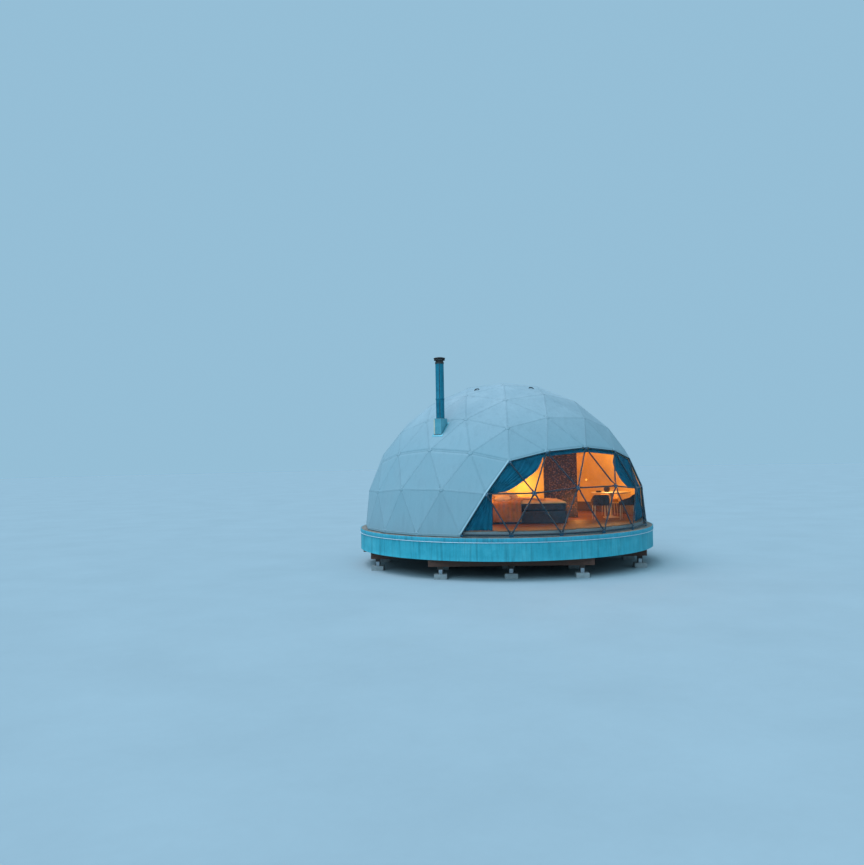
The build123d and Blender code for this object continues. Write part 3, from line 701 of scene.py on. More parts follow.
outerFacets = roofFacets + closedSides
coverSeams("cover_seams", outerFacets, cover, finish["coverSkin"], "cover_fabric")

# a pale welded border on the cover along the two sloping sides of the bay
border = dict(width=0.038, lift=0.0022, thickness=0.0012, leastRise=0.45)


def bayBorder(s):
    bayNames = set(edgesOf(bayFacets))
    points, faces = [], []
    for facet in outerFacets:
        for n in range(3):
            p, q, r = facet[n], facet[(n + 1) % 3], facet[(n + 2) % 3]
            if edgeName(p, q) not in bayNames or abs(p.z - q.z) < s["leastRise"]:
                continue
            inward = (r - p) - (q - p) * ((r - p).dot(q - p) / (q - p).length_squared)
            inward = inward.normalized() * s["width"]

            def stripAt(u, v):
                return sheetPoint(facet, between(p, q, u) + inward * (v * 0.98 + 0.02), cover, s["lift"])

            addGrid(points, faces, 14, 2, stripAt)
    strip = addPiece(
        "bay_border", points, faces, finish["borderStrip"], "cover_fabric", sharp=0, outward=True)
    solidify(strip, s["thickness"])


bayBorder(border)

# two webbing loops near the crown
crownLoops = dict(
    spots=((-1.2, -0.37, 3.83), (0.1, -1.2, 3.85)), faces=(-0.55, -0.83, 0), half=0.050, rise=0.026,
    width=0.036, thick=0.022, sunk=0.003, steps=20)


def addCrownLoops(s):
    points, faces = [], []
    for spot in s["spots"]:
        axis = Vector(spot).normalized()
        base = ontoFacets(axis, roofFacets, cover["offset"] - s["sunk"])
        side = axis.cross(Vector(s["faces"])).normalized()
        across = axis.cross(side) * (s["width"] / 2)
        rings = []
        for k in range(s["steps"] + 1):
            angle = math.pi * k / s["steps"]
            c, r = math.cos(angle), math.sin(angle)
            inner = base + side * (s["half"] * c) + axis * (s["rise"] * r ** 0.7)
            out = (side * (c / s["half"]) + axis * (r / s["rise"])).normalized() * s["thick"]
            rings.append([inner - across, inner - across + out, inner + across + out, inner + across])
        loft(points, faces, rings)
    addPiece("crown_loops", points, faces, finish["strapWeb"], "cover_fabric", sharp=40)


addCrownLoops(crownLoops)
print("cover and seams made")

clearBay = dict(
    offset=0.0247, steps=8, bulge=-0.004, ripple=0.002, fold=0.0008, hem=0.048, thickness=0.002, crisp=6)
baySkin = stretchedSheet(
    "clear_bay_skin", bayFacets, clearBay, finish["clearSheet"], "clear_sheet", ("clear_bay",))

lining = dict(offset=-0.024, steps=10, bulge=-0.022, ripple=0.012, fold=0.005, hem=0.048, thickness=0.006)
liningParts = {  # facets, node that it stands for, reaches the floor, flat size
    "lining_roof_cloth": (roofFacets, "liner_roof", False, (8.1, 8.1)),
    "lining_wall_cloth": (closedSides, "liner_walls", True, (4.2, 15.4)),
}
for name, (facets, node, hemmed, flat) in liningParts.items():
    settings = dict(lining, entrance=True, hem=lining["hem"] if hemmed else 0)
    cloth = stretchedSheet(name, facets, settings, finish["liningCloth"], "liner_fabric", (node,))
print("lining and clear bay made")

# struts and hubs of the bay: tubes pressed flat at the ends, between a hub plate and a clamp disc

strutTube = dict(
    radius=0.019, sides=16, pressedWidth=0.023, pressedHalf=0.002, pressedLift=0.0113, pressedTo=0.072,
    roundFrom=0.165, stations=(0.022, 0.05, 0.072, 0.09, 0.11, 0.135, 0.165, 0.3))
clampDisc = dict(radius=0.052, low=0.0137, high=0.0172)
hubBolt = dict(reach=0.036, radius=0.008, height=0.0028, baseSeat=0.0134, chamfer=0.0006)


def addStrut(points, faces, p, q, s):
    along = (q - p).normalized()
    outward = (p + q).normalized()
    side = along.cross(outward).normalized()
    rings = []
    spots = [(p, along, d) for d in s["stations"]] + [(q, -along, d) for d in reversed(s["stations"])]
    for hub, forward, d in spots:
        plate = hub.normalized()
        flat = (forward - plate * forward.dot(plate)).normalized()
        share = smoothStep((d - s["pressedTo"]) / (s["roundFrom"] - s["pressedTo"]))
        centre = between(hub + flat * d + plate * s["pressedLift"], hub + forward * d, share)
        normal = between(plate, outward, share).normalized()
        wide = between(s["pressedWidth"], s["radius"], share)
        thick = between(s["pressedHalf"], s["radius"], share)
        rings.append(ovalRing(centre + lifted, side * wide, normal * thick, s["sides"]))
    loft(points, faces, rings)


def addBolts(points, faces, hub, far, s):
    axis = hub.normalized()
    forward = far - hub
    flat = (forward - axis * forward.dot(axis)).normalized()
    seat = clampDisc["high"] if hub.z > 0.01 else s["baseSeat"]
    spot = hub + lifted + flat * s["reach"]
    addDisc(points, faces, spot, axis, s["radius"], seat, seat + s["height"], sides=6, chamfer=s["chamfer"])


tubePoints, tubeFaces, boltPoints, boltFaces, discPoints, discFaces = [], [], [], [], [], []
for p, q in edgesOf(bayFacets).values():
    if max(p.z, q.z) > 0.01:
        addStrut(tubePoints, tubeFaces, p, q, strutTube)
        addBolts(boltPoints, boltFaces, p, q, hubBolt)
        addBolts(boltPoints, boltFaces, q, p, hubBolt)
for hub in bayHubs.values():
    if hub.z > 0.01:
        addDisc(discPoints, discFaces, hub + lifted, hub.normalized(), **clampDisc, sides=32)
addPiece("bay_strut_tubes", tubePoints, tubeFaces, finish["bayTube"], "frame_steel", ("bay_struts",))
addPiece("bay_clamp_discs", discPoints, discFaces, finish["darkHub"], "hub_steel")
addPiece("bay_hub_bolts", boltPoints, boltFaces, finish["boltSteel"], "frame_steel")
print("bay frame made")

# curtains tied back at the two ends of the bay, and the valance above them

curtain = dict(
    offset=-0.030, pleats=7, depth=0.018, tailPleats=5, tailDepth=0.030, footLift=0.105, thickness=0.0015,
    strap=0.018, strapReach=0.006, strapHalf=0.021, strapSunk=0.014)
curtainSides = {  # the free edge is azimuth and elevation seen from the dome's middle, top first
    "left_curtain": dict(
        side=-1, tie=0.12, flat=(1.6, 2.0),
        edge=((-20, 30.2), (-21.6, 28.5), (-24.6, 23.9), (-28.9, 20.7), (-32.9, 18.0), (-37.0, 15.8),
              (-40.1, 15.2))),
    "right_curtain": dict(
        side=1, tie=1.0, flat=(2.4, 2.1),
        edge=((20, 30.2), (18.6, 28.3), (15.8, 25.5), (16.0, 22.4), (17.6, 18.9), (20.3, 16.3),
              (23.0, 15.1))),
}


def curveThrough(spots, t):
    place = max(0.0, min(1.0, t)) * (len(spots) - 1)
    i = min(int(place), len(spots) - 2)
    f = place - i
    p, q = spots[i], spots[i + 1]
    pullP = (q - spots[max(i - 1, 0)]) * 0.5
    pullQ = (spots[min(i + 2, len(spots) - 1)] - p) * 0.5
    ends = p * (2 * f**3 - 3 * f**2 + 1) + q * (3 * f**2 - 2 * f**3)
    return ends + pullP * (f**3 - 2 * f**2 + f) + pullQ * (f**3 - f**2)


def curtainTie(name, tie, tieInner, scale, s):
    # a flat strap in a loop round the gathered cloth
    points, faces, rings = [], [], []
    axis = (tieInner - tie).normalized()
    reach = (tieInner - tie).length / 2 + s["strapReach"]
    outward = (tie + tieInner).normalized()
    along = axis.cross(outward) * s["strap"]
    centre = between(tie, tieInner, 0.5) * scale + lifted - outward * s["strapSunk"]
    for k in range(48):
        angle = fullTurn * k / 48
        spot = centre + axis * (reach * math.cos(angle)) + outward * (s["strapHalf"] * math.sin(angle))
        thick = outward * (0.002 * math.copysign(1, math.sin(angle + 0.01)))
        rings.append([spot - along, spot - along + thick, spot + along + thick, spot + along])
    loft(points, faces, rings, closed=True)
    return addPiece(name, points, faces, finish["tealCloth"], "curtain_fabric")


def makeCurtain(node, s, side, edge, tie, flat):
    hubSpots = ((36, 26.6), (44.8, 14.5), (27.2, 14.5), (54, 0))
    top, tieHub, drop, base = (nearestHub(side * a, e) for a, e in hubSpots)
    tieInner = between(tieHub, drop, tie)
    free = [towards(a, e) * dome["radius"] for a, e in edge] + [tieInner]
    foot = between(base, tieHub, s["footLift"] / tieHub.z)
    footInner = Vector((tieInner.x, tieInner.y, foot.z))
    scale = (dome["radius"] + s["offset"]) / dome["radius"]
    points, faces = [], []

    def upperAt(u, v):
        p = between(between(top, tieHub, v), curveThrough(free, v), u)
        fold = 0.5 + 0.5 * math.sin(fullTurn * s["pleats"] * (u + 0.13 * wavy(u * 2.3, v * 1.7, side * 5)))
        slack = 0.008 * abs(wavy(u * 4, v * 3, 7))
        inward = (s["depth"] * fold + slack) * (0.1 + 0.9 * smoothStep(v * 4))
        return ontoFacets(p, bayFacets, s["offset"] - inward)

    def tailAt(u, v):
        p = between(between(tieHub, foot, v), between(tieInner, footInner, v), u)
        inward = -Vector((p.x, p.y, 0)).normalized()
        fold = 0.5 + 0.5 * math.sin(fullTurn * s["tailPleats"] * u + 2 * wavy(u * 2, v * 2, side * 3))
        flutter = 0.006 * wavy(u * 9, v * 4, side)
        return p * scale + lifted + inward * (abs(flutter) + s["tailDepth"] * fold * (0.35 + 0.65 * v))

    addGrid(points, faces, 90, 40, upperAt)
    addGrid(points, faces, 64, 30, tailAt)
    name = node + "_cloth"
    cloth = addPiece(
        name, points, faces, finish["tealCloth"], "curtain_fabric", (node,), sharp=0, outward=True)
    solidify(cloth, s["thickness"])
    strap = curtainTie(name + "_tie", tieHub, tieInner, scale, s)


for node, settings in curtainSides.items():
    makeCurtain(node, curtain, **settings)

valance = dict(
    offset=-0.0395, drop=0.088, pleats=16, depth=0.006, thickness=0.0015, flat=(0.11, 5.2), area=0.56,
    hubs=((-36, 26.6), (-20, 30.2), (0, 31.7), (20, 30.2), (36, 26.6)))


def makeValance(s):
    corners = [nearestHub(a, e) for a, e in s["hubs"]]
    points, faces = [], []
    for a, b in zip(corners, corners[1:]):
        def bandAt(u, v, a=a, b=b):
            p = between(a, b, u)
            down = Vector((p.x, p.y, 0)).normalized() * 0.45 - up
            fold = 0.5 + 0.5 * math.sin(fullTurn * s["pleats"] * u)
            inward = s["depth"] * fold * (0.3 + 0.7 * v)
            return ontoFacets(p + down * (s["drop"] * (1.2 * v - 0.2)), bayFacets, s["offset"] - inward)

        addGrid(points, faces, 64, 6, bandAt)
    cloth = addPiece(
        "valance_cloth", points, faces, finish["tealCloth"], "curtain_fabric", ("bay_valance",), sharp=0,
        outward=True)
    solidify(cloth, s["thickness"])


makeValance(valance)
print("curtains made")

# round platform: boards, kerb, drip edge and ribbed skirt


def boardCuts(s):
    # where the boards of one row are cut, at random lengths
    cuts = [-1e9]
    spot = -s["radius"] + random.uniform(*s["firstCut"])
    while spot < s["radius"]:
        cuts.append(spot)
        spot += random.uniform(*s["length"])
    return cuts + [1e9]


def boardRings(outline, middle, s, place):
    # the board's bottom, its upper edge and its top, drawn in by the chamfer
    cx, cy = middle
    top = s["low"] + s["thickness"]
    rings = []
    for z, inset in ((s["low"], 0), (top - s["edge"], 0), (top, s["edge"])):
        ring = []
        for x, y in outline:
            insetY = math.copysign(inset, y - cy) if abs(y - cy) > 1e-6 else 0
            ring.append(place @ Vector((x - math.copysign(inset, x - cx), y - insetY, z)))
        rings.append(ring)
    return rings


def boardFloor(name, s, material, slot, replaces):
    random.seed(s["seed"])
    points, faces = [], []
    radius, width, gap = s["radius"], s["width"], s["gap"]
    count = int(radius / width) + 1
    for row in range(-count, count):
        low = max(row * width + gap / 2, -radius + s["leastEnd"])
        high = min((row + 1) * width - gap / 2, radius - s["leastEnd"])
        if high - low < 0.01:
            continue
        first, last = math.asin(low / radius), math.asin(high / radius)
        steps = max(4, math.ceil((last - first) / 0.02))
        levels = [radius * math.sin(between(first, last, k / steps)) for k in range(steps + 1)]
        reach = [math.sqrt(radius**2 - y**2) for y in levels]
        cuts = boardCuts(s)
        for start, end in zip(cuts, cuts[1:]):
            left = [max(-r, start + gap / 2) for r in reach]
            right = [min(r, end - gap / 2) for r in reach]
            if min(b - a for a, b in zip(left, right)) < s["shortest"]:
                continue
            outline = list(zip(right, levels)) + list(zip(left, levels))[::-1]
            middle = sum(p[0] for p in outline) / len(outline), (low + high) / 2
            loft(points, faces, boardRings(outline, middle, s, turnedBy(s["turn"])))
    return addPiece(name, points, faces, material, slot, replaces, sharp=30)


boards = dict(
    thickness=0.022, edge=0.0015, leastEnd=0.004, firstCut=(0.6, 2.4), length=(2.0, 3.4), shortest=0.02)
deck = dict(boards, radius=4.139, low=1.020, width=0.14, gap=0.005, turn=54, seed=4)
roomFloor = dict(boards, radius=3.889, low=1.178, width=0.15, gap=0.0015, turn=-33.5, seed=7)
boardFloor("deck_boards", deck, finish["deckBoard"], "deck_wood", ("deck",))
boardFloor("room_floor_boards", roomFloor, finish["redFloor"], "floor_wood", ("floor_boards",))

# profiles are (reach beyond the inner radius, height)
edgeBands = dict(
    inner=4.1403, panels=20, joint=0.002,
    kerb=((0, 0.943), (0.018, 0.942), (0.020, 0.944), (0.020, 1.038), (0.018, 1.0405), (0.016, 1.042),
          (0, 1.042)),
    trim=((0, 0.931), (0.026, 0.931), (0.030, 0.9302), (0.034, 0.9305), (0.034, 0.9335), (0.024, 0.9420),
          (0, 0.9420)),
    skirt=((0, 0.482), (0.004, 0.480), (0.009, 0.481), (0.0095, 0.486), (0.0075, 0.49), (0.0065, 0.60),
           (0.0065, 0.90), (0.0055, 0.929), (0, 0.929)),
)
skirtRibs = dict(pitch=1.5, rise=0.0022, waviness=0.0012)
onAxis = Matrix.Identity(4)


def bandProfile(name):
    return [(edgeBands["inner"] + r, z) for r, z in edgeBands[name]]


def bandPanels(name, profile, segments, shift, material, slot, replaces):
    points, faces = [], []
    step = fullTurn / edgeBands["panels"]
    slit = edgeBands["joint"] / edgeBands["inner"]
    for n in range(edgeBands["panels"]):
        turned(points, faces, profile, onAxis, segments, n * step + slit / 2, step - slit, shift)
    return addPiece(name, points, faces, material, slot, replaces, sharp=50)


def ribs(angle):
    # shallow pressed ribs, with the slight waviness of thin sheet
    phase = (math.degrees(angle) / skirtRibs["pitch"]) % 1.0
    rib = skirtRibs["rise"] * smoothStep((0.5 - abs(phase - 0.5)) * 5 - 0.6)
    return rib + skirtRibs["waviness"] * wavy(math.cos(angle) * 9, math.sin(angle) * 9, 0)


bandPanels("kerb_panels", bandProfile("kerb"), 14, None, finish["kerbPaint"], "kerb_paint", ("deck_kerb",))
bandPanels("skirt_panels", bandProfile("skirt"), 144, ribs, finish["skirtSheet"], "skirt_sheet", ("skirt",))
points, faces = [], []
turned(points, faces, bandProfile("trim"), onAxis, 240)
addPiece("drip_edge", points, faces, finish["trimMetal"], "trim_metal", ("edge_trim",), sharp=50)

# screws along the kerb and cover strips over the skirt's joints
kerbScrew = dict(count=80, reach=4.1603, levels=(0.965, 1.018), radius=0.006, height=0.0025)
jointStrip = dict(reach=4.1503, middle=0.706, size=(0.003, 0.045, 0.44), edge=0.001)


def addKerbScrews(s):
    points, faces = [], []
    for n in range(s["count"]):
        axis = turnedBy((n + 0.5) * 360 / s["count"]) @ Vector((1, 0, 0))
        for z in s["levels"]:
            addDisc(points, faces, axis * s["reach"] + up * z, axis, s["radius"], 0, s["height"], sides=10)
    addPiece("kerb_screws", points, faces, finish["boltSteel"], "trim_metal")


def addJointStrips(s):
    points, faces = [], []
    for n in range(edgeBands["panels"]):
        place = turnedBy(360 * n / edgeBands["panels"]) @ moved(s["reach"], 0, s["middle"])
        addBlock(points, faces, s["size"], place, s["edge"])
    addPiece("skirt_joint_strips", points, faces, finish["skirtSheet"], "skirt_sheet")


addKerbScrews(kerbScrew)
addJointStrips(jointStrip)
print("platform edge made")

# timber, pads and the other nodes that keep their own shape

ownShape = {  # finish and width of the softened edges
    "joists": ("stainedTimber", 0.004), "tie_beams": ("stainedTimber", 0.005),
    "bearers": ("crossTimber", 0.005), "posts": ("postTimber", 0.006),
    "footing_pads": ("padConcrete", 0.012), "insulated_floor": ("foam", 0.003),
    "base_ring_struts": ("bayTube", 0), "wall_struts": ("bayTube", 0), "shoulder_struts": ("bayTube", 0),
    "roof_struts": ("bayTube", 0), "crown_struts": ("bayTube", 0),
    "bay_hubs": ("darkHub", 0.0015), "base_hubs": ("darkHub", 0), "frame_hubs": ("darkHub", 0),
    "anchor_brackets": ("galvanised", 0.001), "door_sill": ("galvanised", 0.004),
    "porch_walls": ("porchPaint", 0.003), "porch_roof": ("porchPaint", 0.003),
    "door_frame": ("doorPaint", 0.003), "door_leaf": ("doorPaint", 0.003),
    "partition": ("speckledBoard", 0.004), "flue_boot": ("bootSheet", 0.004),
}
for name, (finishName, edge) in ownShape.items():
    node = cadNodes[name]
    node.data.materials.clear()
    node.data.materials.append(finish[finishName])
    if edge:
        softenEdges(node, edge)

# steel shoes where each post stands on its pad
postShoe = dict(
    turn=-36, rowReach=3.51, postHalf=0.06, padTop=0.12, farthest=4.05, height=0.11, width=0.09,
    plate=0.006, boltLevels=(0.035, 0.08), boltRadius=0.011, boltHeight=0.008)


def addPostShoes(s):
    points, faces, boltPoints, boltFaces = [], [], [], []
    platform = turnedBy(s["turn"])
    rows = [s["rowReach"] * k / 2 for k in range(-2, 3)]
    for x, y in ((x, y) for x in rows for y in rows):
        if math.hypot(x, y) > s["farthest"]:
            continue
        for side in (-1, 1):
            seat = y + side * (s["postHalf"] + s["plate"] / 2)
            place = platform @ moved(x, seat, s["padTop"] + s["height"] / 2)
            addBlock(points, faces, (s["width"], s["plate"], s["height"]), place, edge=0.001)
            for z in s["boltLevels"]:
                spot = platform @ Vector((x, y + side * (s["postHalf"] + s["plate"]), s["padTop"] + z))
                axis = platform @ Vector((0, side, 0))
                addDisc(boltPoints, boltFaces, spot, axis, s["boltRadius"], 0, s["boltHeight"], sides=6)
    addPiece("post_shoes", points, faces, finish["galvanised"], "bracket_steel")
    addPiece("post_shoe_bolts", boltPoints, boltFaces, finish["boltSteel"], "bracket_steel")


addPostShoes(postShoe)
print("timber and steel finished")

# flue: pipe with a joint band, cowl on legs, flange and sealant round the boot

flue = dict(
    radius=0.110, wall=0.003, bandDrop=1.0, rim=0.004,
    band=((0, -0.002), (0.003, 0), (0.003, 0.004), (0.0065, 0.008), (0.008, 0.014), (0.0065, 0.021),
          (0.0035, 0.024), (0.0065, 0.027), (0.008, 0.034), (0.0065, 0.041), (0.003, 0.045), (0, 0.048)),
)
pipeLow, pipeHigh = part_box("flue_pipe")
pipeBottom, pipeTop = pipeLow.z, pipeHigh.z
flueAxis = moved((pipeLow.x + pipeHigh.x) / 2, (pipeLow.y + pipeHigh.y) / 2, 0)
bandLow = pipeTop - flue["bandDrop"]


def makeFlueTube(s):
    points, faces = [], []
    r, inner = s["radius"], s["radius"] - s["wall"]
    band = [(r + out, bandLow + z) for out, z in s["band"]]
    profile = [(inner, pipeBottom), (r, pipeBottom), *band, (r, pipeTop - s["rim"]), (r - 0.001, pipeTop),
               (inner, pipeTop)]
    turned(points, faces, profile, flueAxis, 64)
    addPiece("flue_tube", points, faces, finish["flueSteel"], "flue_steel", ("flue_pipe",), sharp=50)


makeFlueTube(flue)

# heights: the collar's from the pipe's top, the ring's from the slats' foot, the lid's from its own top
cowl = dict(
    gap=0.045, height=0.09,
    collar=((0.0005, -0.045), (0.006, -0.045), (0.008, -0.042), (0.006, -0.036), (0.006, -0.006),
            (0.008, -0.002), (0.0005, 0)),
    ring=((0.118, 0), (0.146, 0), (0.148, 0.004), (0.146, 0.010), (0.121, 0.012)),
    lid=((0, -0.026), (0.100, -0.032), (0.150, -0.040), (0.1545, -0.038), (0.155, -0.031), (0.150, -0.026),
         (0.110, -0.014), (0.05, -0.003), (0, 0)),
    sleeve=(0.096, 0.102), sleeveDrop=0.03, sleeveRise=0.02,
    slats=28, slatReach=0.136, slatSize=(0.010, 0.016), slatShort=0.040, slatLift=-0.012, slatTurn=28,
    legs=4, legSize=(0.004, 0.024, 0.10), legReach=0.0075, legLift=0.012, edge=0.001,
)


def makeCowl(s):
    points, faces = [], []
    lidLow = pipeTop + s["gap"]
    lidHigh = lidLow + s["height"]
    inner, outer = s["sleeve"]
    low, high = pipeTop - s["sleeveDrop"], lidLow + s["sleeveRise"]
    for profile in (
        [(flue["radius"] + r, pipeTop + z) for r, z in s["collar"]],
        [(r, lidLow + z) for r, z in s["ring"]],
        [(r, lidHigh + z) for r, z in s["lid"]],
        [(inner, low), (outer, low), (outer, high), (inner, high)],
    ):
        turned(points, faces, profile, flueAxis, 48)
    for n in range(s["slats"]):
        middle = (lidLow + lidHigh) / 2 + s["slatLift"]
        place = flueAxis @ turnedBy(360 * n / s["slats"]) @ moved(s["slatReach"], 0, middle)
        size = (*s["slatSize"], s["height"] - s["slatShort"])
        addBlock(points, faces, size, place @ turnedBy(s["slatTurn"]), s["edge"])
    for n in range(s["legs"]):
        reach = flue["radius"] + s["legReach"]
        place = flueAxis @ turnedBy(360 * n / s["legs"]) @ moved(reach, 0, pipeTop + s["legLift"])
        addBlock(points, faces, s["legSize"], place, s["edge"])
    addPiece("flue_cowl", points, faces, finish["sootyCowl"], "cowl_steel", ("flue_cap",), sharp=40)


makeCowl(cowl)

# the rolled seam down each length of pipe
lockSeam = dict(
    facing=(-0.62, -0.78, 0), width=0.016, rise=0.0016, sunk=0.001, spans=((0.13, -0.003), (0.049, -0.048)),
    shape=((-0.5, 0), (-0.35, 1), (0.35, 1), (0.5, 0)))


def makeLockSeam(s):
    points, faces = [], []
    out = Vector(s["facing"]).normalized()
    aside = out.cross(up)
    spans = zip((pipeBottom, bandLow), s["spans"], (bandLow, pipeTop))
    for start, (above, below), end in spans:
        rings = []
        for z in (start + above, (start + above + end + below) / 2, end + below):
            ring = []
            for a, b in s["shape"]:
                reach = flue["radius"] - s["sunk"] + b * (s["sunk"] + s["rise"])
                ring.append(flueAxis @ (up * z + out * reach + aside * (a * s["width"])))
            rings.append(ring)
        loft(points, faces, rings)
    addPiece("flue_lock_seam", points, faces, finish["sootyCowl"], "flue_steel", sharp=40)


makeLockSeam(lockSeam)

# flange profiles are (reach beyond the boot, height above the roof)
boot = dict(
    turn=-72, size=0.25, soft=0.012, corners=5, coverGap=0.0022,
    flange=((-0.004, 0), (0.045, 0), (0.045, 0.003), (0.041, 0.0045), (-0.004, 0.0045)),
    sealant=((-0.002, 0.004), (0.008, 0.0045), (0.006, 0.009), (0.001, 0.014), (-0.002, 0.014)),
    pipeSealant=((0.1105, -0.001), (0.124, -0.001), (0.121, 0.007), (0.1135, 0.012), (0.1105, 0.012)),
    strip=((0.001, 0.0002), (0.036, 0.0002), (0.035, 0.0025), (0.002, 0.0025)),
    stripLow=0.010, stripTop=0.02,
)
flueSpot = flueAxis.translation
flueHeight = math.sqrt(dome["radius"] ** 2 - flueSpot.xy.length_squared)
above = Vector((flueSpot.x, flueSpot.y, flueHeight)).normalized()
bootFacet = max(roofFaces[4], key=lambda facet: sum(facet, Vector()).normalized().dot(above))
roofNormal = (bootFacet[1] - bootFacet[0]).cross(bootFacet[2] - bootFacet[0]).normalized()
roofNormal = roofNormal if roofNormal.z > 0 else -roofNormal
roofPoint = bootFacet[0] * ((dome["radius"] + cover["offset"] + boot["coverGap"]) / dome["radius"]) + lifted


def onRoof(x, y, lift=0.0):
    # a point of the facet's plane above x, y, lifted square to it
    away = roofNormal.x * (x - roofPoint.x) + roofNormal.y * (y - roofPoint.y)
    return Vector((x, y, roofPoint.z - away / roofNormal.z)) + roofNormal * lift


def squareOnRoof(half, lift):
    ring = []
    place = flueAxis @ turnedBy(boot["turn"])
    for n, (sx, sy) in enumerate(((1, 1), (-1, 1), (-1, -1), (1, -1))):
        for k in range(boot["corners"]):
            angle = math.radians(90 * n + 90 * k / (boot["corners"] - 1))
            x = sx * (half - boot["soft"]) + boot["soft"] * math.cos(angle)
            y = sy * (half - boot["soft"]) + boot["soft"] * math.sin(angle)
            spot = place @ Vector((x, y, 0))
            ring.append(onRoof(spot.x, spot.y, lift))
    return ring


def makeBootSeals(s):
    half = s["size"] / 2
    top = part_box("flue_boot")[1].z
    for name, profile, look, sharp in (("boot_flange", s["flange"], "bootSheet", 30),
                                       ("boot_sealant", s["sealant"], "sealant", 0)):
        points, faces = [], []
        loft(points, faces, [squareOnRoof(half + reach, lift) for reach, lift in profile], closed=True)
        addPiece(name, points, faces, finish[look], "boot_steel", sharp=sharp)
    points, faces = [], []
    turned(points, faces, s["pipeSealant"], flueAxis @ moved(0, 0, top), 48)
    addPiece("pipe_sealant", points, faces, finish["sealant"], "boot_steel", sharp=0)
    # the cream strip down the boot's left corner
    turn = turnedBy(s["turn"])
    sideways, downhill = turn @ Vector((1, 0, 0)), turn @ Vector((0, -1, 0))
    rings = []
    for k in range(9):
        ring = []
        for along, out in s["strip"]:
            spot = flueSpot + sideways * (along - half) + downhill * (half + out)
            low = onRoof(spot.x, spot.y).z + s["stripLow"]
            ring.append(Vector((spot.x, spot.y, between(low, top - s["stripTop"], k / 8))))
        rings.append(ring)
    points, faces = [], []
    loft(points, faces, rings)
    addPiece("boot_corner_strip", points, faces, finish["creamStrip"], "boot_steel", sharp=40)


makeBootSeals(boot)
print("flue made")

# entrance on the back: weather strips, door panels, handle and hinges

weatherStrip = dict(
    width=0.07, sphere=4.02, halfSpan=0.52, lowest=-0.014, highest=0.5535, roofHalf=0.523, steps=24,
    seat=0.0008, thick=0.0030, taper=0.003, front=4.048)


def makeWeatherStrips(s):
    # one up each side of the porch and one across its roof, where the cover meets it
    points, faces = [], []
    half = porch["width"] / 2
    reach = math.sqrt(s["sphere"]**2 - s["halfSpan"]**2)
    for side in (-1, 1):
        a, b = side * (half + s["seat"]), side * (half + s["thick"])
        rings = []
        for k in range(s["steps"] + 1):
            elevation = between(s["lowest"], s["highest"], k / s["steps"])
            away = Vector((0, math.cos(elevation), math.sin(elevation)))
            ring = []
            for x, out in ((a, 0), (a, s["width"]), (b, s["width"] - s["taper"]), (b, 0.002)):
                p = Vector((x, 0, 0)) + away * (reach + out) + lifted
                p.y = min(p.y, s["front"])
                ring.append(p)
            rings.append(ring)
        loft(points, faces, rings)
    rings = []
    for k in range(s["steps"] + 1):
        x = between(-s["roofHalf"], s["roofHalf"], k / s["steps"])
        y = math.sqrt(s["sphere"]**2 - x * x - (porch["top"] - dome["baseHeight"]) ** 2)
        rings.append([
            Vector((x, y + out, porch["top"] + lift)) for out, lift in (
                (-0.01, s["seat"]), (s["width"], s["seat"]), (s["width"] - s["taper"], s["thick"]),
                (-0.008, s["thick"]))
        ])
    loft(points, faces, rings)
    addPiece("porch_weather_strips", points, faces, finish["coverSeam"], "cover_fabric", sharp=40)


makeWeatherStrips(weatherStrip)

door = dict(
    front=4.05, panels=((1.36, 1.98), (2.10, 2.96)), panelWidth=0.60,
    moulding=0.03, thick=0.006, gap=0.0002, edge=0.002,
    plateAt=(0.355, 2.22), plateSize=(0.04, 0.008, 0.22), stemRadius=0.010,
    leverHeight=2.26, leverReach=0.036, lever=(0.372, 0.36, 0.30, 0.245, 0.235), leverHalf=(0.008, 0.010),
    hingeX=-0.424, hinges=(1.42, 2.16, 2.90), hingeRadius=0.008, knuckles=3, knucklePitch=0.034,
    knuckle=0.032,
)


def makeDoorMouldings(s):
    # a raised moulding round each panel of the door
    points, faces = [], []
    m = s["moulding"]
    side = (s["panelWidth"] - m) / 2
    for low, high in s["panels"]:
        middle, tall = (low + high) / 2, high - low - m - s["gap"]
        for x, z, size in ((0, low, (s["panelWidth"], m)), (0, high, (s["panelWidth"], m)),
                           (-side, middle, (m, tall)), (side, middle, (m, tall))):
            place = moved(x, s["front"] + 0.002, z)
            addBlock(points, faces, (size[0], s["thick"], size[1]), place, s["edge"])
    addPiece("door_mouldings", points, faces, finish["doorPaint"], "door_paint", sharp=40)


def makeDoorFittings(s):
    points, faces = [], []
    x, z = s["plateAt"]
    across, out = Vector((1, 0, 0)), Vector((0, 1, 0))
    addBlock(points, faces, s["plateSize"], moved(x, s["front"] + 0.004, z), s["edge"])
    stem = across * s["stemRadius"], up * s["stemRadius"]
    loft(points, faces, [
        ovalRing(Vector((x, s["front"] + reach, s["leverHeight"])), *stem, 12) for reach in (0.006, 0.030)])
    thick, tall = s["leverHalf"]
    loft(points, faces, [
        ovalRing(Vector((x, s["front"] + s["leverReach"], s["leverHeight"])), out * thick, up * tall, 12)
        for x in s["lever"]])
    pin = across * s["hingeRadius"], out * s["hingeRadius"]
    for z in s["hinges"]:
        for k in range(s["knuckles"]):
            low = z + k * s["knucklePitch"]
            loft(points, faces, [
                ovalRing(Vector((s["hingeX"], s["front"] + 0.004, height)), *pin, 12)
                for height in (low, low + s["knuckle"])])
    addPiece("door_handle_and_hinges", points, faces, finish["boltSteel"], "bracket_steel", sharp=35)


makeDoorMouldings(door)
makeDoorFittings(door)
print("entrance made")

# the room: bed, table, chairs

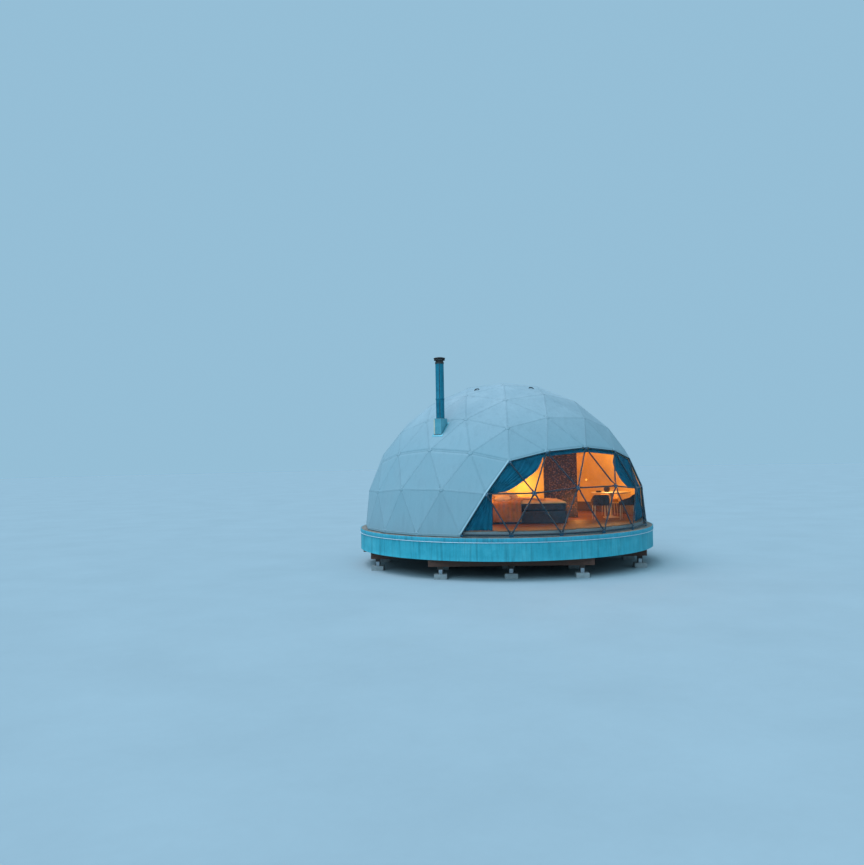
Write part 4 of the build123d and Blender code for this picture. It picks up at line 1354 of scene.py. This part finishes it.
# places in the room are shares of the floor's radius, turned with the room
room = dict(turn=-33.5, floor=1.2, radius=3.8902)
roomTurn = turnedBy(room["turn"]) @ moved(0, 0, room["floor"])


def inRoom(shareX, shareY, turn=0.0):
    return roomTurn @ moved(shareX * room["radius"], shareY * room["radius"], 0) @ turnedBy(turn)


bed = dict(
    place=(0.129, -0.283), length=2.05, width=1.70, baseHeight=0.34, mattressHeight=0.22, inset=0.02,
    baseGap=0.012, baseShort=0.004, baseSoft=0.028, baseBulge=0.004, mattressGap=0.05, mattressShort=0.006,
    mattressSoft=0.04)
bedPlace = inRoom(*bed["place"])
mattressTop = bed["baseHeight"] + bed["mattressHeight"]


def makeBedBase(s):
    points, faces = [], []
    size = (s["length"] - s["baseGap"], s["width"] - s["baseGap"], s["baseHeight"] - s["baseShort"])
    place = bedPlace @ moved(0, 0, s["baseHeight"] / 2)
    roundedBox(points, faces, size, place, s["baseSoft"], steps=26, bulge=s["baseBulge"])
    piece = addPiece(
        "bed_upholstery", points, faces, finish["slateCloth"], "bed_fabric", ("bed_base",), sharp=0)


makeBedBase(bed)

duvetShape = dict(
    overhang=0.018, soft=0.05, gap=0.004, lift=0.006, puff=0.006, quilt=0.018, quilting=(3.5, 3),
    foldAt=-0.15, foldHeight=0.055, foldReach=0.38, thickness=0.006)
duvetHalf = [bed[side] / 2 - bed["inset"] - duvetShape["gap"] for side in ("length", "width")]


def roundedOver(value, half, soft):
    # a cloth laid past an edge: where it lies and how far it has dropped
    past = abs(value) - (half - soft)
    if past <= 0:
        return value, 0.0
    if past < soft * math.pi / 2:
        lies = half - soft + soft * math.sin(past / soft)
        return math.copysign(lies, value), soft * (1 - math.cos(past / soft))
    return math.copysign(half, value), soft + past - soft * math.pi / 2


def duvetSpot(u, v, s):
    laid = [roundedOver((2 * t - 1) * (h + s["overhang"]), h, s["soft"]) for t, h in zip((u, v), duvetHalf)]
    (x, dropX), (y, dropY) = laid
    inside = smoothStep(min(duvetHalf[0] - abs(x), duvetHalf[1] - abs(y)) / 0.12)
    rows, columns = (abs(math.sin(math.pi * n * (2 * t - 1))) ** 0.5 for n, t in zip(s["quilting"], (u, v)))
    wrinkle = 0.014 * wavy(x * 4, y * 4, 3) + 0.007 * wavy(x * 11, y * 9, 8)
    heap = s["foldHeight"] * math.exp(-(((x - s["foldAt"] - 0.05 * math.sin(y * 5)) / s["foldReach"]) ** 4))
    heap *= 0.8 + 0.4 * wavy(x * 5, y * 3, 1)
    puff = s["puff"] + inside * (s["quilt"] * rows * columns + wrinkle + heap)
    return Vector((x, y, mattressTop + s["lift"] - max(dropX, dropY) + max(0.003, puff)))


def makeDuvet(s):
    points, faces = [], []
    addGrid(points, faces, 110, 90, lambda u, v: bedPlace @ duvetSpot(u, v, s))
    piece = addPiece("duvet", points, faces, finish["creamBedding"], "bedding", sharp=0)
    solidify(piece, s["thickness"], offset=1)
    return piece


def makeMattress(s):
    points, faces = [], []
    gap, height = s["mattressGap"], s["mattressHeight"] - s["mattressShort"]
    size = (s["length"] - gap, s["width"] - gap, height)
    place = bedPlace @ moved(0, 0, s["baseHeight"] + s["mattressHeight"] / 2)
    roundedBox(points, faces, size, place, s["mattressSoft"], steps=16)
    piece = addPiece(
        "mattress_body", points, faces, finish["slateCloth"], "bedding", ("mattress",), sharp=0)


duvet = makeDuvet(duvetShape)
makeMattress(bed)

# spot is length, width and height over the mattress, turn is about X, Y and Z
pillow = dict(
    pressure=4.5, cap=0.04, fullness=0.36, edge=2.6, lift=0.03, frames=20, stretch=12, bend=0.4,
    size=(0.50, 0.70, 0.17), smallSize=(0.40, 0.42, 0.15))
pillowSpots = {
    "pillow_near": ("size", (-0.70, -0.40, 0.085), (0, -3, 2)),
    "pillow_far": ("size", (-0.70, 0.38, 0.085), (0, -4, -3)),
    "pillow_upper_near": ("size", (-0.76, -0.36, 0.190), (2, 14, -6)),
    "pillow_upper_far": ("size", (-0.74, 0.40, 0.195), (-2, 12, 5)),
    "small_pillow": ("smallSize", (-0.36, 0.02, 0.10), (4, 24, 8)),
}


def inflate(piece, s):
    # blow the pillow up as cloth, then keep the result in the mesh, each point moved by the cap at most
    rest = [v.co.copy() for v in piece.data.vertices]
    cloth = piece.modifiers.new("cloth", "CLOTH")
    cloth.settings.use_pressure = True
    cloth.settings.uniform_pressure_force = s["pressure"]
    cloth.settings.effector_weights.gravity = 0
    cloth.settings.tension_stiffness = s["stretch"]
    cloth.settings.bending_stiffness = s["bend"]
    cloth.point_cache.frame_start, cloth.point_cache.frame_end = 1, s["frames"]
    for number in range(1, s["frames"] + 1):
        bpy.context.scene.frame_set(number)
    shaped = piece.evaluated_get(bpy.context.evaluated_depsgraph_get()).to_mesh()
    blown = [v.co.copy() for v in shaped.vertices]
    piece.modifiers.remove(cloth)
    for vertex, was, now in zip(piece.data.vertices, rest, blown):
        step = now - was
        vertex.co = was + step * min(1, s["cap"] / max(step.length, 1e-9))
    bpy.context.scene.frame_set(1)


def makePillow(name, s, size, spot, turn, cloth):
    points, faces = [], []
    x, y, z = (side / 2 for side in size)
    for layer in (-1, 1):
        def faceAt(u, v, layer=layer):
            a, b = 2 * u - 1, 2 * v - 1
            full = max(0, (1 - abs(a) ** s["edge"]) * (1 - abs(b) ** s["edge"])) ** s["fullness"]
            drawnIn = 1 - 0.07 * (1 - b * b), 1 - 0.05 * (1 - a * a)
            return Vector((a * x * drawnIn[0], b * y * drawnIn[1], layer * z * full * 0.8))

        addGrid(points, faces, 24, 30, faceAt)
    piece = addPiece(name, points, faces, cloth, "bedding", sharp=0)
    inflate(piece, s)
    place = bedPlace @ moved(spot[0], spot[1], spot[2] + mattressTop + s["lift"])
    piece.data.transform(place @ turnedBy(turn[2]) @ turnedBy(turn[1], "Y") @ turnedBy(turn[0], "X"))
    smooth = piece.modifiers.new("smooth", "SUBSURF")
    smooth.levels = smooth.render_levels = 1


for name, (size, spot, turn) in pillowSpots.items():
    makePillow(name, pillow, pillow[size], spot, turn, finish["pillowLinen"])

# a wool throw over the near side of the bed
woolThrow = dict(
    x=(-0.96, -0.22), top=1.15, hang=0.54, lift=0.036, overDuvet=0.014, off=0.012, soft=0.05, drift=0.75,
    driftOver=0.6, thickness=0.006, flat=(1.70, 0.80))


def duvetHeight(x, y):
    u, v = ((value / (h + duvetShape["overhang"]) + 1) / 2 for value, h in zip((x, y), duvetHalf))
    return duvetSpot(max(0, min(1, u)), max(0, min(1, v)), duvetShape).z


def throwSpot(u, v, s):
    edge = -bed["width"] / 2 - s["off"]
    top, soft = mattressTop + s["lift"], s["soft"]
    run = v * (s["top"] + s["hang"]) - s["hang"]
    x = between(*s["x"], u) + 0.02 * wavy(v * 3, 2, u) + 0.03 * (0.5 - v) * (u - 0.5)
    x += s["drift"] * smoothStep(run / s["driftOver"])
    crease = 0.010 * wavy(u * 7, v * 4, 5) + 0.006 * math.sin(u * 40 + 3 * v)
    if run > soft:
        over = duvetHeight(x, edge + run) + s["overDuvet"] + 0.3 * (crease + 0.016)
        return Vector((x, edge + run, max(top + crease, over)))
    if run > -soft:
        # round the bed's edge
        angle = (soft - run) / (2 * soft) * math.pi / 2
        y = edge + soft - (soft + crease) * math.sin(angle)
        return Vector((x, y, top - soft + (soft + crease) * math.cos(angle)))
    return Vector((x, edge - crease - 0.006, top + run))


def makeThrow(s):
    points, faces = [], []
    addGrid(points, faces, 60, 70, lambda u, v: bedPlace @ throwSpot(u, v, s))
    cloth = addPiece("wool_throw", points, faces, finish["rustWool"], "bedding", sharp=0)
    solidify(cloth, s["thickness"], offset=1)


makeThrow(woolThrow)

# profiles are (radius, height), and the rim's are inward and down from the table top's edge
table = dict(
    place=(0.784, -0.051), radius=0.56, height=0.73, top=0.03,
    rim=((0.03, 0.03), (0.004, 0.020), (0, 0.012), (0.002, 0.003), (0.006, 0)),
    pedestal=((0, 0), (0.236, 0), (0.24, 0.006), (0.238, 0.014), (0.20, 0.022), (0.08, 0.034),
              (0.042, 0.06), (0.034, 0.14), (0.032, 0.52), (0.042, 0.64), (0.075, 0.685)),
    neck=0.14, dishAt=(-0.37, -0.10), bowlAt=(-0.10, 0.08),
    dish=((0, 0), (0.055, 0), (0.082, 0.02), (0.088, 0.042), (0.084, 0.044), (0.076, 0.022), (0.05, 0.006),
          (0, 0.006)),
    bowl=((0, 0), (0.06, 0), (0.085, 0.03), (0.095, 0.08), (0.085, 0.125), (0.06, 0.15), (0.058, 0.165),
          (0.052, 0.165), (0.05, 0.15), (0, 0.13)),
)
tablePlace = inRoom(*table["place"])


def makeTable(s):
    points, faces = [], []
    height, under = s["height"], s["height"] - s["top"]
    rim = [(s["radius"] - inward, height - down) for inward, down in s["rim"]]
    turned(points, faces, [(0, under), *rim, (0, height)], tablePlace, 64)
    turned(points, faces, [*s["pedestal"], (s["neck"], under), (0, under)], tablePlace, 48)
    addPiece("round_table", points, faces, finish["oiledWood"], "table_wood", ("table",), sharp=40)
    points, faces = [], []
    for name in ("dish", "bowl"):
        turned(points, faces, s[name], tablePlace @ moved(*s[name + "At"], height), 40)
    addPiece("table_dishes", points, faces, finish["darkGlaze"], "chair_fabric", sharp=40)


makeTable(table)

# a small wall light on the lining at the right
wallLight = dict(
    aim=(3.71, 0.5, 1.10), clear=0.040,
    profile=((0, 0), (0.030, 0), (0.030, 0.008), (0.026, 0.012), (0.024, 0.022), (0.018, 0.033),
             (0.008, 0.039), (0, 0.040)))


def makeWallLight(s):
    points, faces = [], []
    aim = Vector(s["aim"])
    seat = ontoFacets(aim, sideFacets, lining["offset"] - s["clear"])
    inward = (-aim).to_track_quat("Z", "Y").to_matrix().to_4x4()
    turned(points, faces, s["profile"], Matrix.Translation(seat) @ inward, 32)
    addPiece("wall_light", points, faces, finish["litGlass"], "liner_fabric", sharp=40)


makeWallLight(wallLight)

# legShape is (height, radius, reach past the spread)
chair = dict(
    width=0.50, depth=0.48, seat=0.47, backTop=0.695, armRise=0.15, shellLow=0.40, wall=0.035,
    armsAt=(25, -205), square=0.62, bottomThick=0.05, bottomGap=0.02, bottomLift=0.022, bottomSoft=0.022,
    padThick=0.09, padGap=0.012, padBehind=0.02, padSoft=0.030, padBulge=0.012,
    legSpread=0.19, legShape=((0.41, 0.015, -0.02), (0.2, 0.012, -0.008), (0, 0.009, 0.0)))


def chairShell(points, faces, place, s):
    # the back wraps from one arm, round behind, to the other; the profile is (inward, height)
    rings = []
    low, wall = s["shellLow"], s["wall"]
    for k in range(49):
        angle = math.radians(between(*s["armsAt"], k / 48))
        ex = math.copysign(abs(math.cos(angle)) ** s["square"], math.cos(angle))
        ey = math.copysign(abs(math.sin(angle)) ** s["square"], math.sin(angle))
        top = between(low + s["armRise"], s["backTop"], smoothStep((0.35 - math.sin(angle)) / 1.2))
        outer = Vector((ex * s["width"] / 2, ey * s["depth"] / 2, 0))
        inward = Vector((-ex / s["width"], -ey / s["depth"], 0)).normalized()
        profile = (
            (0.012, low), (0.004, low + 0.02), (0.0, low + 0.10), (0.0, top - 0.03), (0.004, top - 0.010),
            (0.014, top), (wall - 0.010, top), (wall, top - 0.012), (wall + 0.004, low + 0.12),
            (wall + 0.002, low))
        rings.append([place @ (outer + inward * d + up * z) for d, z in profile])
    loft(points, faces, rings)
    size = (s["width"] - s["bottomGap"], s["depth"] - s["bottomGap"], s["bottomThick"])
    roundedBox(points, faces, size, place @ moved(0, 0, low + s["bottomLift"]), s["bottomSoft"], steps=8)


def chairPad(points, faces, place, s):
    gap = s["padGap"]
    size = (s["width"] - 2 * s["wall"] - gap, s["depth"] - s["wall"] - s["padBehind"], s["padThick"])
    place = place @ moved(0, gap, s["seat"] - gap)
    roundedBox(points, faces, size, place, s["padSoft"], steps=12, bulge=s["padBulge"])


def chairLegs(points, faces, place, s):
    for sx in (-1, 1):
        for sy in (-1, 1):
            rings = []
            for z, r, out in s["legShape"]:
                reach = s["legSpread"] + out
                middle = Vector((sx * reach, sy * reach, z))
                ring = ovalRing(middle, Vector((r, 0, 0)), Vector((0, r, 0)), 14)
                rings.append([place @ p for p in ring])
            loft(points, faces, rings)


def tubChairs(name, spots, s, cloth, slot, node):
    shell, pad, legs = ([], []), ([], []), ([], [])
    for spot in spots:
        place = inRoom(*spot)
        chairShell(*shell, place, s)
        chairPad(*pad, place, s)
        chairLegs(*legs, place, s)
    addPiece(name + "_shell", *shell, cloth, slot, (node,), sharp=0)
    addPiece(name + "_seat_pad", *pad, cloth, slot, sharp=0)
    addPiece(name + "_legs", *legs, finish["oiledWood"], "table_wood", sharp=40)


diningSpots = ((0.67, -0.219, 0), (0.864, -0.239, 70))
amberSpots = ((0.815, 0.159, 180),)
tubChairs("dining_chair", diningSpots, chair, finish["chairCloth"], "chair_fabric", "dining_chairs")
tubChairs("amber_chair_soft", amberSpots, chair, finish["amberVelvet"], "amber_fabric", "amber_chair")
print("room made")

# camera, light and stage

view = dict(
    place=(-15.549, -19.760, 3.12), turn=-33.5, pitch=91.4, roll=-1.0, lens=36.0, sensor=36, reach=400)
cameraData = bpy.data.cameras.new("camera")
cameraData.sensor_fit = "HORIZONTAL"
cameraData.sensor_width = view["sensor"]
cameraData.lens = view["lens"]
cameraData.clip_end = view["reach"]
camera = bpy.data.objects.new("camera", cameraData)
bpy.context.scene.collection.objects.link(camera)
aimed = turnedBy(view["turn"]) @ turnedBy(view["pitch"], "X") @ turnedBy(view["roll"])
camera.matrix_world = moved(*view["place"]) @ aimed
bpy.context.scene.camera = camera


def addLamp(name, kind, energy, colour, place):
    data = bpy.data.lights.new(name, kind)
    data.energy = energy
    data.color = colour
    lamp = bpy.data.objects.new(name, data)
    bpy.context.scene.collection.objects.link(lamp)
    lamp.location = place
    lamp.visible_camera = False
    return lamp


# studio suns shine towards the dome's middle; room lamps are placed in the room
studio = dict(
    skyColour=(0.30, 0.517, 0.676), skyStrength=1.0, spread=40, floorReach=150, floorThick=0.3,
    suns={
        "soft_fill": (1.1, (0.50, 0.80, 1.0), (-15, -9, 14)),
        "soft_top": (1.5, (0.78, 0.84, 1.0), (-6, 6, 20)),
    })
lampTones = dict(amber=(1.0, 0.38, 0.065), pale=(1.0, 0.56, 0.20))
lampSize = 0.16
roomLamps = {
    "middle": ((1.0, 1.1, 2.2), 78, "amber"), "bedside": ((0.75, 3.15, 0.75), 38, "pale"),
    "overBed": ((-0.7, -0.3, 1.35), 44, "amber"), "overTable": ((3.0, 0.05, 1.30), 44, "pale"),
    "leftCorner": ((-0.75, -2.35, 1.20), 26, "amber"), "byPartition": ((2.05, -0.55, 0.38), 12, "amber"),
}
for name, (energy, colour, place) in studio["suns"].items():
    sun = addLamp(name, "SUN", energy, colour, place)
    sun.data.angle = math.radians(studio["spread"])
    sun.rotation_mode = "QUATERNION"
    sun.rotation_quaternion = (-Vector(place)).to_track_quat("-Z", "Y")
for name, (spot, energy, tone) in roomLamps.items():
    lamp = addLamp("room_lamp_" + name, "POINT", energy, lampTones[tone], roomTurn @ Vector(spot))
    lamp.data.shadow_soft_size = lampSize

world = bpy.data.worlds.new("studio")
world.use_nodes = True
sky = world.node_tree.nodes["Background"]
sky.inputs["Color"].default_value = (*studio["skyColour"], 1)
sky.inputs["Strength"].default_value = studio["skyStrength"]
bpy.context.scene.world = world
bpy.context.scene.view_settings.view_transform = "Standard"

points, faces = [], []
reach, depth = studio["floorReach"], studio["floorThick"]
turned(points, faces, [(0, -depth), (reach, -depth), (reach, 0), (0, 0)], onAxis, 96)
mesh = bpy.data.meshes.new("studio_floor")
mesh.from_pydata([tuple(p) for p in points], [], faces)
mesh.materials.append(finish["studioFloor"])
floor = bpy.data.objects.new("studio_floor", mesh)
bpy.context.scene.collection.objects.link(floor)
print("stage set")
